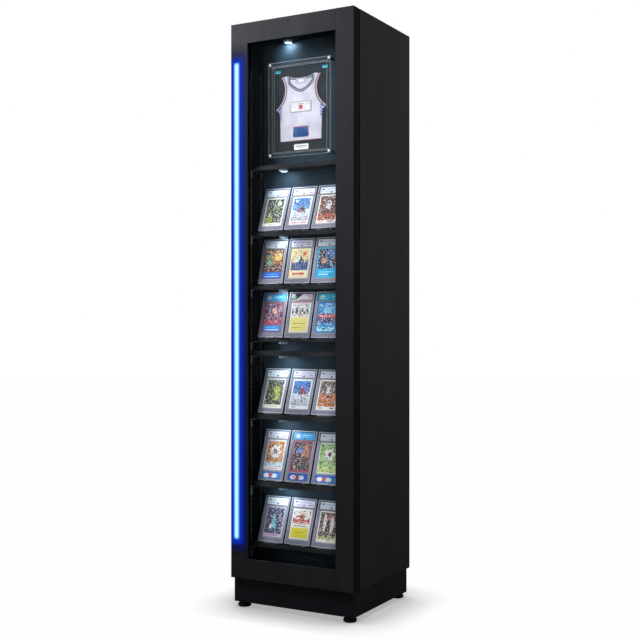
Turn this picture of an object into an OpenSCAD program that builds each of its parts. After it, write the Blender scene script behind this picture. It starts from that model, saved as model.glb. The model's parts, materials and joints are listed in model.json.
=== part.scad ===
// Tall free-standing display case for graded trading cards and a framed jersey.
// Each module is drawn in the case's own measures: x from the left outer side,
// y back from the door's front face, z up from the underside of the body.

/* [Case] */
// Thickness of the side panels
side_t = 18; // [16:1:22]
// Thickness of the top and bottom panels
panel_t = 18; // [15:1:25]
// Depth of the body behind the door
carcass_d = 328; // [260:1:420]
// Thickness of the panel behind the display
back_t = 12; // [9:1:18]
// Thickness of the screwed rear cover
rear_t = 6; // [4:0.5:8]
// Width of the ledge that the rear cover lies on
rear_ledge = 9; // [7:0.5:12]
// Depth of the rear cover's recess
rear_recess = 8; // [8:0.5:14]
// Thickness of the ceiling board
ceiling_t = 12; // [9:1:18]
// Height of the wiring space above the ceiling board
head_void = 17; // [12:1:40]
// Thickness of the lining's front tongue
tongue_t = 10; // [8:0.5:11]

/* [Plinth and feet] */
// Height of the plinth
plinth_h = 71; // [50:1:120]
// Thickness of the plinth boards
plinth_t = 12; // [9:1:18]
// How far the plinth is set back at the front
plinth_front = 12; // [4:1:40]
// How far the plinth is set in at each side
plinth_side = 4; // [0:1:30]
// How far the plinth is set in at the back
plinth_back = 12; // [4:1:40]
// Side length of the corner blocks
block_w = 40; // [34:1:60]
// Height of the feet below the plinth
foot_h = 15; // [12:0.5:30]
// Radius of the foot pads
foot_r = 19; // [12:0.5:24]
// Thickness of the foot pads
pad_t = 6; // [4:0.5:8]
// Radius of the foot's threaded stem
stem_r = 4; // [3:0.5:5]
// Length of the threaded stem inside the plinth
stem_h = 40; // [25:1:48]

/* [Door] */
// Thickness of the door frame
door_t = 34; // [28:1:45]
// Gap between the door and the body
door_gap = 4; // [3.5:0.1:6]
// Width of the door stiles
stile_w = 56; // [52:1:75]
// Width of the bottom rail
bottom_rail_w = 58; // [40:1:100]
// Width of the top rail
top_rail_w = 59; // [50:1:100]
// Width of the lip in front of the glass
lip_w = 16; // [13:0.5:20]
// Width of the rails' lip in front of the glass
rail_lip_w = 13; // [10:0.5:16]
// Thickness of the lip in front of the glass
lip_t = 6; // [4:0.5:9]
// Thickness of the glass pane
glass_t = 4; // [3:0.5:6]
// Thickness of the sealing tape
gasket_t = 1; // [0.5:0.1:2]
// Width of the sealing tape
gasket_w = 8; // [5:0.5:11]
// Gap between the glass edge and the frame
glass_play = 2; // [1:0.1:3]
// Gap between the glass and what stands behind it
glass_clear = 2.5; // [2:0.1:5]
// Thickness of the glass clips
clip_t = 1; // [0.8:0.1:1.5]
// Width of the glass clips
clip_w = 12; // [8:1:20]

/* [Light bar] */
// Distance of the light bar's centre line from the door's edge
bar_x = 19; // [16:0.5:22]
// Outer width of the light channel
bar_w = 23; // [18:0.5:26]
// Depth of the light channel
bar_d = 12; // [9:0.5:16]
// Wall of the light channel
bar_wall = 1.5; // [1:0.1:2]
// Height of the bar's lower end
bar_below = 109; // [60:1:300]
// Distance of the bar's upper end from the door's top
bar_above = 109; // [60:1:300]
// Thickness of the diffuser
diffuser_t = 2; // [1:0.1:3]
// Width of the light strip
strip_w = 10; // [8:0.5:12]
// Thickness of the light strip
strip_t = 0.6; // [0.4:0.1:1]
// Distance between the light strip's lamps
lamp_pitch = 16.7; // [10:0.1:33]

/* [Hinges and latch] */
// Radius of the hinge knuckles
knuckle_r = 3.5; // [3:0.1:4]
// Radius of the hinge pins
hinge_pin_r = 1.5; // [1.2:0.1:1.8]
// Thickness of the hinge leaves
leaf_t = 1.5; // [1:0.1:1.6]
// Width of the hinge leaves
leaf_w = 14; // [10:0.5:16]
// Height of each hinge
hinge_h = 76; // [50:1:110]
// Distance of the outer hinges' centres from the door's ends
hinge_inset = 150; // [100:5:300]
// Radius of the push latch's body
latch_r = 5; // [4.5:0.1:6]
// Length of the push latch's body
latch_len = 36; // [25:1:45]
// Radius of the push latch's plunger
plunger_r = 3; // [2:0.1:3.5]
// Travel of the plunger
plunger_travel = 3; // [1:0.5:5]
// Gap between the plunger and its strike
plunger_gap = 0.3; // [0.2:0.1:0.5]
// Height of the latch above the underside of the body
latch_z = 760; // [300:10:900]

/* [Shelves] */
// Thickness of the thin shelves
thin_shelf_t = 12; // [10:0.5:16]
// Thickness of the thick shelves
thick_shelf_t = 15; // [12:0.5:20]
// Thickness of the ledge shelf
ledge_t = 8; // [6:0.5:12]
// Distance of the shelves' front edges from the door's front face
shelf_front = 30.5; // [30:0.5:32]
// Gap beside and behind each shelf
shelf_play = 1; // [0.5:0.1:2]
// Height of the bay under the lowest shelf
bottom_bay = 72; // [50:1:150]
// Free height above the first row of slabs when its shelf is lifted
headroom_1 = 45; // [8:1:90]
// Free height above the second row of slabs when its shelf is lifted
headroom_2 = 3; // [3:0.5:60]
// Free height above the third row of slabs when its shelf is lifted
headroom_3 = 4; // [3:0.5:60]
// Free height above the fourth row of slabs when its shelf is lifted
headroom_4 = 34; // [8:1:90]
// Free height above the fifth row of slabs when its shelf is lifted
headroom_5 = 29; // [8:1:90]
// Free height above the sixth row of slabs when its shelf is lifted
headroom_6 = 28; // [8:1:90]
// Gap between the ledge shelf and the fixed shelf below it
ledge_gap = 25.5; // [20:0.5:60]
// Distance that a shelf can be lifted off its brackets
shelf_lift = 4; // [1:0.5:5]

/* [Shelf standards and brackets] */
// Width of the slotted standards
standard_w = 12; // [10:0.5:14]
// Thickness of the slotted standards
standard_t = 2; // [1.5:0.1:3]
// Distance of the front standards from the lining's front edge
standard_set = 2; // [1:0.5:4]
// Width of the slots
slot_w = 3.5; // [3:0.1:5]
// Height of the slots
slot_h = 7; // [6:0.5:8]
// Distance between the slots
slot_pitch = 12.5; // [11:0.5:16]
// Plain length of the standards above the top shelf
standard_plain = 276; // [60:1:320]
// Width of the shelf brackets under the shelves
bracket_w = 10; // [8:0.5:12]
// Thickness of the shelf brackets
bracket_t = 1.5; // [1.2:0.1:2]

/* [Graded cards] */
// Width of a slab
slab_w = 82.5; // [78:0.5:90]
// Height of a slab
slab_h = 134; // [120:1:150]
// Height of the taller slabs of the fifth row
tall_slab_h = 150; // [140:1:165]
// Thickness of a slab
slab_t = 5; // [4.4:0.1:6.5]
// Gap between two slabs
slab_gap = 6; // [3:0.5:20]
// Gap between the outer slabs and the lining
slab_margin = 14.25; // [13:0.25:30]
// Lean of the well tilted slabs in degrees
lean_steep = 21; // [10:1:25]
// Lean of the upright slabs in degrees
lean_upright = 15; // [8:1:20]
// Lean of the tall slabs in degrees
lean_tall = 19; // [10:1:22]
// Height of the slabs' front lower edge above the shelf
easel_rise = 5; // [4.5:0.1:9]
// Thickness of the easels' sheet
easel_t = 2; // [1.5:0.1:3]
// Width of an easel
easel_w = 40; // [30:1:60]
// Width of an easel's front hooks
hook_w = 6; // [4:0.5:10]
// Height of an easel's front hooks
hook_h = 6; // [4:0.5:12]
// Gap between a slab and its easel
slab_play = 0.2; // [0.1:0.1:0.5]
// Width of a card
card_w = 63.5; // [60:0.5:66]
// Height of a card
card_h = 88.9; // [86:0.1:92]
// Thickness of a card
card_t = 0.6; // [0.3:0.1:0.9]
// Height of a slab's paper label
label_h = 20; // [14:1:22]
// Width of a slab's paper label
label_w = 70; // [60:1:72]

/* [Framed jersey] */
// Width of the clear frame
frame_w = 206; // [190:1:230]
// Height of the clear frame
frame_h = 274; // [250:1:330]
// Depth of the frame from the display back
frame_d = 16.5; // [14:0.5:30]
// Thickness of the clear sheets
sheet_t = 3; // [2:0.5:4]
// Width of the border outside the frame's side walls
frame_border = 10.5; // [10:0.5:16]
// Thickness of the black backing board
board_t = 3; // [2:0.5:4]
// Free height below the frame
frame_below = 30; // [10:1:80]
// Free height above the frame
frame_above = 60; // [20:1:120]
// Sideways shift of the frame from the middle
frame_shift = -14; // [-20:1:20]
// Height of the jersey from hem to shoulder
jersey_h = 191; // [170:1:200]
// Width across the jersey's armpits
jersey_w = 168; // [150:1:174]
// Thickness of the folded jersey
jersey_t = 3; // [2:0.5:5]
// Width of the plate on the jersey's chest
plate_w = 69; // [40:1:76]
// Height of the plate on the jersey's chest
plate_h = 30; // [16:1:36]
// Width of the patch above the hem
patch_w = 51; // [30:1:70]
// Height of the patch above the hem
patch_h = 31; // [16:1:40]
// Width of the caption plate below the jersey
caption_w = 47; // [30:1:80]
// Height of the caption plate below the jersey
caption_h = 16; // [8:1:17]
// Radius of the frame's bolts
stud_r = 2.5; // [2:0.1:3]

/* [Spot lights] */
// Radius of the spot lights
spot_r = 13; // [9:0.5:14]
// Height of the spot lights
spot_h = 6; // [4:0.5:6.5]
// Distance of the shelves' spot lights from the door's front face
spot_y = 48; // [46:0.5:50]
// Distance of the ceiling's spot light from the door's front face
ceiling_spot_y = 73; // [46:0.5:74]
// Sideways shift of the spot lights from the middle
spot_shift = -52; // [-80:1:80]

/* [Wiring] */
// Width of the light driver
driver_w = 54; // [40:1:80]
// Height of the light driver
driver_h = 150; // [100:1:200]
// Thickness of the light driver
driver_t = 32; // [20:1:45]
// Height of the light driver above the bottom panel
driver_z = 180; // [100:5:400]
// Distance of the driver and the power inlet from the left side
inlet_x = 90; // [70:1:200]
// Height of the power inlet above the bottom panel
inlet_z = 24; // [20:1:60]
// Radius of the leads
lead_r = 2.5; // [1.5:0.1:3]

/* [Hidden] */
$fn = 48;

// Clearances that the fits share
fit = 0.05;
seam = 0.05;
screw_play = 0.1;
knuckle_play = 0.4;
lead_play = 0.5;
rest_play = 0.3;
// Overrun of a cut past the face that it opens
over = 1;

// Rows of slabs, listed from the top row to the bottom row
row_lean = [lean_steep, lean_upright, lean_upright, lean_steep, lean_tall, lean_steep];
row_slab_h = [slab_h, slab_h, slab_h, slab_h, tall_slab_h, slab_h];
row_headroom = [headroom_1, headroom_2, headroom_3, headroom_4, headroom_5, headroom_6];
row_shelf = [2, 3, 4, 6, 7, 8];
hook_set = 1;
slab_front = shelf_front + easel_t + slab_play + hook_set;
function row_rise(r) = easel_rise + row_slab_h[r] * cos(row_lean[r]) + shelf_lift + row_headroom[r];
function row_reach(r) = row_slab_h[r] * sin(row_lean[r]) + slab_t * cos(row_lean[r]);

// Widths
side_by_side = 3 * slab_w + 2 * slab_gap;
inner_w = side_by_side + 2 * slab_margin;
case_w = inner_w + 2 * stile_w;
inner_x = stile_w;
mid_x = case_w / 2;
liner_w = stile_w - side_t;

// Depths
carcass_front = door_t + door_gap;
case_d = carcass_front + carcass_d;
glass_y = lip_t + gasket_t;
tongue_front = glass_y + glass_t + glass_clear;
rest_clear = 1;
display_y = slab_front + max([for (r = [0 : 5]) row_reach(r)]) + rest_clear;
rear_y = case_d - rear_recess;
standard_front = tongue_front + standard_set;
standard_back = 6;
standard_rear = display_y - standard_w - standard_back;

// Heights of the shelves' undersides and tops, shelf 1 at the top
shelf_t = [thin_shelf_t, thin_shelf_t, thin_shelf_t, ledge_t,
    thick_shelf_t, thick_shelf_t, thick_shelf_t, thin_shelf_t];
floor_z = panel_t;
under_8 = floor_z + bottom_bay;
under_7 = under_8 + shelf_t[7] + row_rise(5);
under_6 = under_7 + shelf_t[6] + row_rise(4);
under_5 = under_6 + shelf_t[5] + row_rise(3);
under_4 = under_5 + shelf_t[4] + ledge_gap;
under_3 = under_4 + shelf_t[3] + row_rise(2);
under_2 = under_3 + shelf_t[2] + row_rise(1);
under_1 = under_2 + shelf_t[1] + row_rise(0);
shelf_under = [under_1, under_2, under_3, under_4, under_5, under_6, under_7, under_8];
function shelf_top(n) = shelf_under[n - 1] + shelf_t[n - 1];
frame_z = shelf_top(1) + frame_below;
ceiling_z = frame_z + frame_h + frame_above;
case_h = ceiling_z + ceiling_t + head_void + panel_t;
body_z = foot_h + plinth_h;

// Door opening and its rebate
opening_top = case_h - top_rail_w;
rebate_x = stile_w - lip_w;
rebate_bottom = bottom_rail_w - rail_lip_w;
rebate_top = opening_top + rail_lip_w;
glass_x = rebate_x + glass_play;
glass_bottom = rebate_bottom + glass_play;
glass_top = rebate_top - glass_play;
tongue_play = 3;
tongue_bottom = rebate_bottom + tongue_play;
tongue_top = rebate_top - tongue_play;

// Hinge axis, outside the left side and in the middle of the door gap
axis_x = -knuckle_r;
axis_y = door_t + door_gap / 2;
hinge_z = [hinge_inset, case_h / 2, case_h - hinge_inset];
latch_x = case_w - (side_t + rebate_x) / 2;

// The row frame's origin is below the middle of everything, hinge knuckles included
case_x0 = -case_w / 2 + knuckle_r;
case_y0 = -case_d / 2;

// Feet
// Distance of the stems from the plinth boards, sideways and from front to back
stem_set_x = 7;
stem_set_y = 3;
foot_x = plinth_side + plinth_t + stem_r + stem_set_x;
foot_front_y = plinth_front + plinth_t + stem_r + stem_set_y;
foot_rear_y = case_d - plinth_back - plinth_t - stem_r - stem_set_y;
// Threaded inserts of the feet
flange_t = 1.5;
flange_rim = 5;
barrel_wall = 1.2;
flange_r = stem_r + flange_rim;
barrel_r = stem_r + barrel_wall;
barrel_h = 14;
bore_room = 5;

// Inner sizes of the framed jersey
frame_x = mid_x - frame_w / 2 + frame_shift;
frame_y = display_y - frame_d;
board_play = 0.5;
jersey_up = 44;
board_w = frame_w - 2 * (frame_border + sheet_t + board_play);
board_h = frame_h - 2 * (frame_border + sheet_t + board_play);
jersey_x = frame_x + frame_w / 2;
jersey_z = frame_z + jersey_up;
jersey_y = display_y - board_t - jersey_t - rest_play;

// Colours
black = "#2b2c2f";
dark = "#1d1e20";
steel = "#b9bdc2";
clear = [0.80, 0.86, 0.90, 0.45];

// Places what is drawn in the case's own measures into the part's frame
module placed() {
    translate([case_x0, case_y0, body_z])
        children();
}

// A block given by its lowest and its highest corner
module block(a, b) {
    translate(a)
        cube(b - a);
}

// A rod of radius r along each axis, from its lower end
module rod_x(p, r, l) {
    translate(p)
        rotate([0, 90, 0])
            cylinder(r = r, h = l);
}

module rod_y(p, r, l) {
    translate(p)
        rotate([-90, 0, 0])
            cylinder(r = r, h = l);
}

module rod_z(p, r, l) {
    translate(p)
        cylinder(r = r, h = l);
}

/* Rear cover screws, shared by the cover, the panels behind it and the screws */
screw_r = 1.6;
screw_len = 16;
screw_head_r = 3.2;
screw_head_t = 1.6;
screw_rows = 6;
screw_end = 60;
screw_x = rear_ledge / 2 + side_t - rear_ledge;
screw_step = (case_h - 2 * screw_end) / (screw_rows - 1);
rear_screws = concat(
    [for (i = [0 : screw_rows - 1]) [screw_x, screw_end + i * screw_step]],
    [for (i = [0 : screw_rows - 1]) [case_w - screw_x, screw_end + i * screw_step]],
    [for (i = [1, 2]) [i * case_w / 3, panel_t / 2]],
    [for (i = [1, 2]) [i * case_w / 3, case_h - panel_t / 2]]);

module rear_screw_holes(r) {
    for (s = rear_screws)
        rod_y([s[0], rear_y - screw_len, s[1]], r, screw_len + rear_recess + over);
}

module side_panel() {
    difference() {
        block([0, carcass_front, 0], [side_t, case_d, case_h]);
        block([side_t - rear_ledge, rear_y, -over], [side_t + over, case_d + over, case_h + over]);
        rear_screw_holes(screw_r + screw_play);
    }
}

module side_left() {
    color(black)
        placed()
            side_panel();
}

module side_right() {
    color(black)
        placed()
            translate([case_w, 0, 0])
                mirror([1, 0, 0])
                    side_panel();
}

module level_panel(z) {
    difference() {
        block([side_t, carcass_front, z], [case_w - side_t, rear_y, z + panel_t]);
        rear_screw_holes(screw_r + screw_play);
    }
}

module top_panel() {
    color(black)
        placed()
            level_panel(case_h - panel_t);
}

module bottom_panel() {
    color(black)
        placed()
            level_panel(0);
}

vent_w = 80;
vent_h = 4;
vent_pitch = 12;
vent_count = 6;
vent_end = 240;
rear_play = 0.5;

module rear_panel() {
    color(dark)
        placed()
            difference() {
                block([side_t - rear_ledge + rear_play, rear_y, rear_play],
                    [case_w - side_t + rear_ledge - rear_play, rear_y + rear_t, case_h - rear_play]);
                rear_screw_holes(screw_r + 2 * screw_play);
                for (i = [0 : vent_count - 1], base = [vent_end, case_h - vent_end])
                    translate([mid_x - vent_w / 2, rear_y - over, base + i * vent_pitch])
                        cube([vent_w, rear_t + 2 * over, vent_h]);
                rod_y([inlet_x, rear_y - over, floor_z + inlet_z], jack_r + screw_play, rear_t + 2 * over);
            }
}

module case_fasteners() {
    color(steel)
        placed() {
            for (s = rear_screws) {
                rod_y([s[0], rear_y - screw_len + over, s[1]], screw_r, screw_len + rear_t - over);
                rod_y([s[0], rear_y + rear_t, s[1]], screw_head_r, screw_head_t);
            }
            for (p = foot_places)
                translate([p[0], p[1], -plinth_h])
                    difference() {
                        union() {
                            translate([0, 0, -flange_t])
                                cylinder(r = flange_r, h = flange_t);
                            cylinder(r = barrel_r, h = barrel_h);
                        }
                        translate([0, 0, -flange_t - over])
                            cylinder(r = stem_r + fit, h = barrel_h + flange_t + 2 * over);
                    }
        }
}

/* Lining walls with the grooves of the slotted standards */
standard_end = 2;
standard_low = tongue_bottom + standard_end;
standard_high = shelf_top(1) + standard_plain;
slot_end = 12;
slot_low = standard_low + slot_end;
slot_count = floor((shelf_under[0] - slot_low) / slot_pitch);

module liner() {
    difference() {
        union() {
            block([side_t, carcass_front, floor_z],
                [inner_x, display_y, case_h - panel_t]);
            block([inner_x - tongue_t, tongue_front, tongue_bottom],
                [inner_x, carcass_front + over, tongue_top]);
        }
        for (y = [standard_front, standard_rear])
            block([inner_x - standard_t, y, standard_low],
                [inner_x + over, y + standard_w, standard_high]);
    }
}

module liner_left() {
    color(black)
        placed()
            liner();
}

module liner_right() {
    color(black)
        placed()
            difference() {
                translate([case_w, 0, 0])
                    mirror([1, 0, 0])
                        liner();
                rod_y([latch_x, carcass_front - over, latch_z], latch_r + fit, latch_len + 2 * over);
            }
}

module ceiling_board() {
    color(black)
        placed() {
            difference() {
                block([inner_x, carcass_front, ceiling_z],
                    [case_w - inner_x, display_y, ceiling_z + ceiling_t]);
                rod_z([mid_x + spot_shift, ceiling_spot_y, ceiling_z - over], lead_r + lead_play,
                    ceiling_t + 2 * over);
            }
            spot(ceiling_spot_y, ceiling_z);
        }
}

// A surface-mounted spot light at depth y, whose top face is at height z
module spot(y, z) {
    rim = 3.5;
    lens_r = spot_r - rim;
    lens_t = 1.2;
    translate([mid_x + spot_shift, y, z - spot_h]) {
        difference() {
            cylinder(r = spot_r, h = spot_h - seam);
            translate([0, 0, -over])
                cylinder(r = lens_r + fit, h = lens_t + seam + over);
        }
        cylinder(r = lens_r, h = lens_t);
    }
}

module display_back() {
    color(dark)
        placed()
            difference() {
                block([side_t, display_y, floor_z],
                    [case_w - side_t, display_y + back_t, case_h - panel_t]);
                rod_y([inlet_x, display_y - over, lead_z], lead_r + lead_play, back_t + 2 * over);
                for (p = stud_places)
                    rod_y([p[0], display_y - over, p[1]], stud_r + screw_play, stud_in + 2 * over);
            }
}

/* Plinth */
module plinth() {
    front = plinth_front;
    rear = case_d - plinth_back;
    left = plinth_side;
    right = case_w - plinth_side;
    color(black)
        placed()
            difference() {
                union() {
                    block([left, front, -plinth_h], [right, front + plinth_t, 0]);
                    block([left, rear - plinth_t, -plinth_h], [right, rear, 0]);
                    block([left, front, -plinth_h], [left + plinth_t, rear, 0]);
                    block([right - plinth_t, front, -plinth_h], [right, rear, 0]);
                    for (x = [left, right - block_w], y = [front, rear - block_w])
                        block([x, y, -plinth_h], [x + block_w, y + block_w, 0]);
                }
                for (p = foot_places)
                    rod_z([p[0], p[1], -plinth_h - over], barrel_r + fit, stem_h + bore_room + over);
            }
}

foot_places = [for (y = [foot_front_y, foot_rear_y], x = [foot_x, case_w - foot_x]) [x, y]];

// A levelling foot, drawn from the floor up
module foot(p) {
    neck_wall = 3;
    neck_r = stem_r + neck_wall;
    edge = 1.5;
    color(dark)
        translate([case_x0 + p[0], case_y0 + p[1], 0])
            union() {
                rotate_extrude()
                    polygon([[0, 0], [foot_r - edge, 0], [foot_r, edge], [foot_r, pad_t - edge],
                        [foot_r - 2 * edge, pad_t], [0, pad_t]]);
                cylinder(r = neck_r, h = foot_h - flange_t);
                cylinder(r = stem_r, h = foot_h + stem_h);
            }
}

module foot_front_left() {
    foot(foot_places[0]);
}

module foot_front_right() {
    foot(foot_places[1]);
}

module foot_rear_left() {
    foot(foot_places[2]);
}

module foot_rear_right() {
    foot(foot_places[3]);
}

/* Slotted standards and the brackets that hook into them */
module each_side() {
    children();
    translate([case_w, 0, 0])
        mirror([1, 0, 0])
            children();
}

module shelf_standards() {
    color(steel)
        placed()
            each_side()
                for (y = [standard_front, standard_rear])
                    difference() {
                        block([inner_x - standard_t, y, standard_low],
                            [inner_x, y + standard_w, standard_high]);
                        for (i = [0 : slot_count - 1])
                            translate([inner_x - standard_t - over, y + (standard_w - slot_w) / 2,
                                slot_low + i * slot_pitch])
                                cube([standard_t + 2 * over, slot_w, slot_h]);
                    }
}

// Height of the highest slot that lies wholly below z
function slot_below(z) = slot_low + floor((z - slot_h - slot_low) / slot_pitch) * slot_pitch;

// A rail under one end of a shelf, with a hook plate at each standard
module bracket(z) {
    plate_low = 3;
    plate_set = 2;
    plate_h = slot_pitch + slot_h + plate_low;
    rail_front = standard_front + standard_w / 2;
    tab_y = (standard_w - slot_w) / 2 + rest_play;
    tab_z = slot_below(z - over) + rest_play;
    block([inner_x, rail_front, z - bracket_t],
        [inner_x + bracket_w, standard_rear + standard_w, z]);
    for (y = [standard_front, standard_rear]) {
        block([inner_x, y + plate_set, z - plate_h],
            [inner_x + bracket_t, y + standard_w - plate_set, z]);
        translate([inner_x - standard_t, y + tab_y, tab_z])
            cube([standard_t + over, slot_w - 2 * rest_play, slot_h - 2 * rest_play]);
    }
}

module shelf_brackets() {
    color(steel)
        placed()
            each_side()
                for (z = shelf_under)
                    bracket(z);
}

// Shelf number n with the spot light under it
module shelf(n, lit = true) {
    z = shelf_under[n - 1];
    color(black)
        placed() {
            block([inner_x + shelf_play, shelf_front, z],
                [case_w - inner_x - shelf_play, display_y - shelf_play, z + shelf_t[n - 1]]);
            if (lit)
                spot(spot_y, z);
        }
}

module shelf_1() {
    shelf(1);
}

module shelf_2() {
    shelf(2);
}

module shelf_3() {
    shelf(3);
}

module shelf_4() {
    shelf(4);
}

module shelf_5() {
    shelf(5);
}

module shelf_6() {
    shelf(6);
}

module shelf_7() {
    shelf(7);
}

module shelf_8() {
    shelf(8, lit = false);
}

/* Door frame, glass and light bar */
module channel_groove() {
    block([bar_x - bar_w / 2, -over, bar_below], [bar_x + bar_w / 2, bar_d, case_h - bar_above]);
}

clip_screw_r = 1.2;
clip_screw_l = 7;
clip_screw_set = 8;
clip_end = 120;
clip_y = glass_y + glass_t + clip_screw_set;
clip_count = 5;
clip_step = (case_h - 2 * clip_end) / (clip_count - 1);
side_clips = [for (i = [0 : clip_count - 1]) clip_end + i * clip_step];

module stile() {
    difference() {
        block([0, 0, 0], [stile_w, door_t, case_h]);
        block([rebate_x, lip_t, rebate_bottom], [stile_w + over, door_t + over, rebate_top]);
        for (z = side_clips)
            rod_x([rebate_x - clip_screw_l - over, clip_y, z], clip_screw_r + screw_play,
                clip_screw_l + 2 * over);
    }
}

module door_stile_left() {
    color(black)
        placed()
            difference() {
                stile();
                channel_groove();
            }
}

module door_stile_right() {
    color(black)
        placed()
            difference() {
                translate([case_w, 0, 0])
                    mirror([1, 0, 0])
                        stile();
                rod_y([latch_x, door_t - strike_t, latch_z], strike_r + fit, strike_t + over);
            }
}

module door_rail_top() {
    color(black)
        placed()
            difference() {
                block([stile_w, 0, opening_top], [case_w - stile_w, door_t, case_h]);
                block([stile_w - over, lip_t, opening_top - over],
                    [case_w - stile_w + over, door_t + over, rebate_top]);
            }
}

module door_rail_bottom() {
    color(black)
        placed()
            difference() {
                block([stile_w, 0, 0], [case_w - stile_w, door_t, bottom_rail_w]);
                block([stile_w - over, lip_t, rebate_bottom],
                    [case_w - stile_w + over, door_t + over, bottom_rail_w + over]);
            }
}

module door_glass() {
    color(clear)
        placed()
            block([glass_x, glass_y, glass_bottom], [case_w - glass_x, glass_y + glass_t, glass_top]);
}

module glass_gasket() {
    color(dark)
        placed()
            difference() {
                block([glass_x, lip_t, glass_bottom], [case_w - glass_x, glass_y, glass_top]);
                block([glass_x + gasket_w, lip_t - over, glass_bottom + gasket_w],
                    [case_w - glass_x - gasket_w, glass_y + over, glass_top - gasket_w]);
            }
}

// Spring-steel clips that hold the glass against the tape, each with its screw
module glass_clips() {
    tail = 6;
    foot_len = 8;
    head_t = 1;
    clip_back = clip_y + tail;
    y0 = glass_y + glass_t;
    color(steel)
        placed()
            each_side()
                for (z = side_clips) {
                    difference() {
                        union() {
                            block([rebate_x, y0, z - clip_w / 2],
                                [rebate_x + clip_t, clip_back, z + clip_w / 2]);
                            block([rebate_x, y0, z - clip_w / 2],
                                [rebate_x + foot_len, y0 + clip_t, z + clip_w / 2]);
                        }
                        rod_x([rebate_x - over, clip_y, z], clip_screw_r + screw_play, clip_t + 2 * over);
                    }
                    rod_x([rebate_x - clip_screw_l, clip_y, z], clip_screw_r, clip_screw_l + clip_t + seam);
                    rod_x([rebate_x + clip_t + seam, clip_y, z], 2 * clip_screw_r, head_t);
                }
}

module light_channel() {
    x0 = bar_x - bar_w / 2;
    x1 = bar_x + bar_w / 2;
    z1 = case_h - bar_above;
    color(steel)
        placed()
            difference() {
                block([x0, 0, bar_below], [x1, bar_d, z1]);
                block([x0 + bar_wall, -over, bar_below + bar_wall],
                    [x1 - bar_wall, bar_d - bar_wall, z1 - bar_wall]);
            }
}

module led_strip() {
    end_gap = 4;
    y1 = bar_d - bar_wall;
    z0 = bar_below + bar_wall + end_gap;
    length = case_h - bar_above - bar_wall - end_gap - z0;
    lamp = [3, 1.2, 3];
    root = 0.1;
    count = floor((length - lamp_pitch) / lamp_pitch);
    color("white")
        placed()
            union() {
                block([bar_x - strip_w / 2, y1 - strip_t, z0], [bar_x + strip_w / 2, y1, z0 + length]);
                for (i = [0 : count])
                    translate([bar_x - lamp[0] / 2, y1 - strip_t - lamp[1], z0 + (i + 0.5) * lamp_pitch])
                        cube(lamp + [0, root, 0]);
            }
}

module light_diffuser() {
    gap = 0.1;
    color([0.35, 0.6, 1.0, 0.9])
        placed()
            block([bar_x - bar_w / 2 + bar_wall + gap, 0, bar_below + bar_wall + gap],
                [bar_x + bar_w / 2 - bar_wall - gap, diffuser_t, case_h - bar_above - bar_wall - gap]);
}

/* Hinges: the door's leaf has the middle knuckle and the case's leaf the two outer ones */
knuckle_h = hinge_h / 3;
leaf_near = axis_x + knuckle_r - 1.3;
leaf_far = axis_x + knuckle_r + knuckle_play;

module knuckle(z, h) {
    rod_z([axis_x, axis_y, z], knuckle_r, h);
}

module door_hinge_leaves() {
    color(steel)
        placed()
            for (z = hinge_z)
                difference() {
                    union() {
                        knuckle(z - knuckle_h / 2 + knuckle_play / 2, knuckle_h - knuckle_play);
                        block([leaf_near, door_t, z - knuckle_h / 2 + knuckle_play / 2],
                            [leaf_far + over, door_t + leaf_t, z + knuckle_h / 2 - knuckle_play / 2]);
                        block([leaf_far, door_t, z - hinge_h / 2],
                            [leaf_w, door_t + leaf_t, z + hinge_h / 2]);
                    }
                    rod_z([axis_x, axis_y, z - knuckle_h], hinge_pin_r + fit, 2 * knuckle_h);
                }
}

module case_hinge_leaves() {
    y0 = carcass_front - leaf_t;
    color(steel)
        placed()
            for (z = hinge_z)
                union() {
                    for (low = [z - hinge_h / 2, z + knuckle_h / 2 + knuckle_play / 2]) {
                        knuckle(low, knuckle_h - knuckle_play / 2);
                        block([leaf_near, y0, low],
                            [leaf_far + over, carcass_front, low + knuckle_h - knuckle_play / 2]);
                    }
                    block([leaf_far, y0, z - hinge_h / 2], [leaf_w, carcass_front, z + hinge_h / 2]);
                    rod_z([axis_x, axis_y, z - hinge_h / 2], hinge_pin_r, hinge_h);
                }
}

/* Push latch in the right lining, with its strike in the door */
strike_t = 1;
strike_r = 7;
latch_rim = 2.5;
latch_rim_t = 1;
latch_floor = 3;
latch_bore_end = carcass_front - latch_rim_t + latch_len - latch_floor;

module latch_body() {
    color(dark)
        placed()
            difference() {
                union() {
                    rod_y([latch_x, carcass_front - latch_rim_t, latch_z], latch_r + latch_rim, latch_rim_t);
                    rod_y([latch_x, carcass_front - latch_rim_t, latch_z], latch_r, latch_len);
                }
                rod_y([latch_x, door_t, latch_z], plunger_r + fit, latch_bore_end - door_t);
            }
}

module latch_plunger() {
    color(steel)
        placed()
            rod_y([latch_x, door_t + plunger_gap, latch_z], plunger_r,
                latch_bore_end - plunger_travel - door_t - plunger_gap);
}

module latch_strike() {
    color(steel)
        placed()
            rod_y([latch_x, door_t - strike_t, latch_z], strike_r, strike_t);
}

/* Framed jersey: a clear cover, a black board, the jersey and its plaques */
stud_inset = frame_border / 2;
stud_in = 8;
stud_places = [for (x = [frame_x + stud_inset, frame_x + frame_w - stud_inset],
    z = [frame_z + stud_inset, frame_z + frame_h - stud_inset]) [x, z]];

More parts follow.
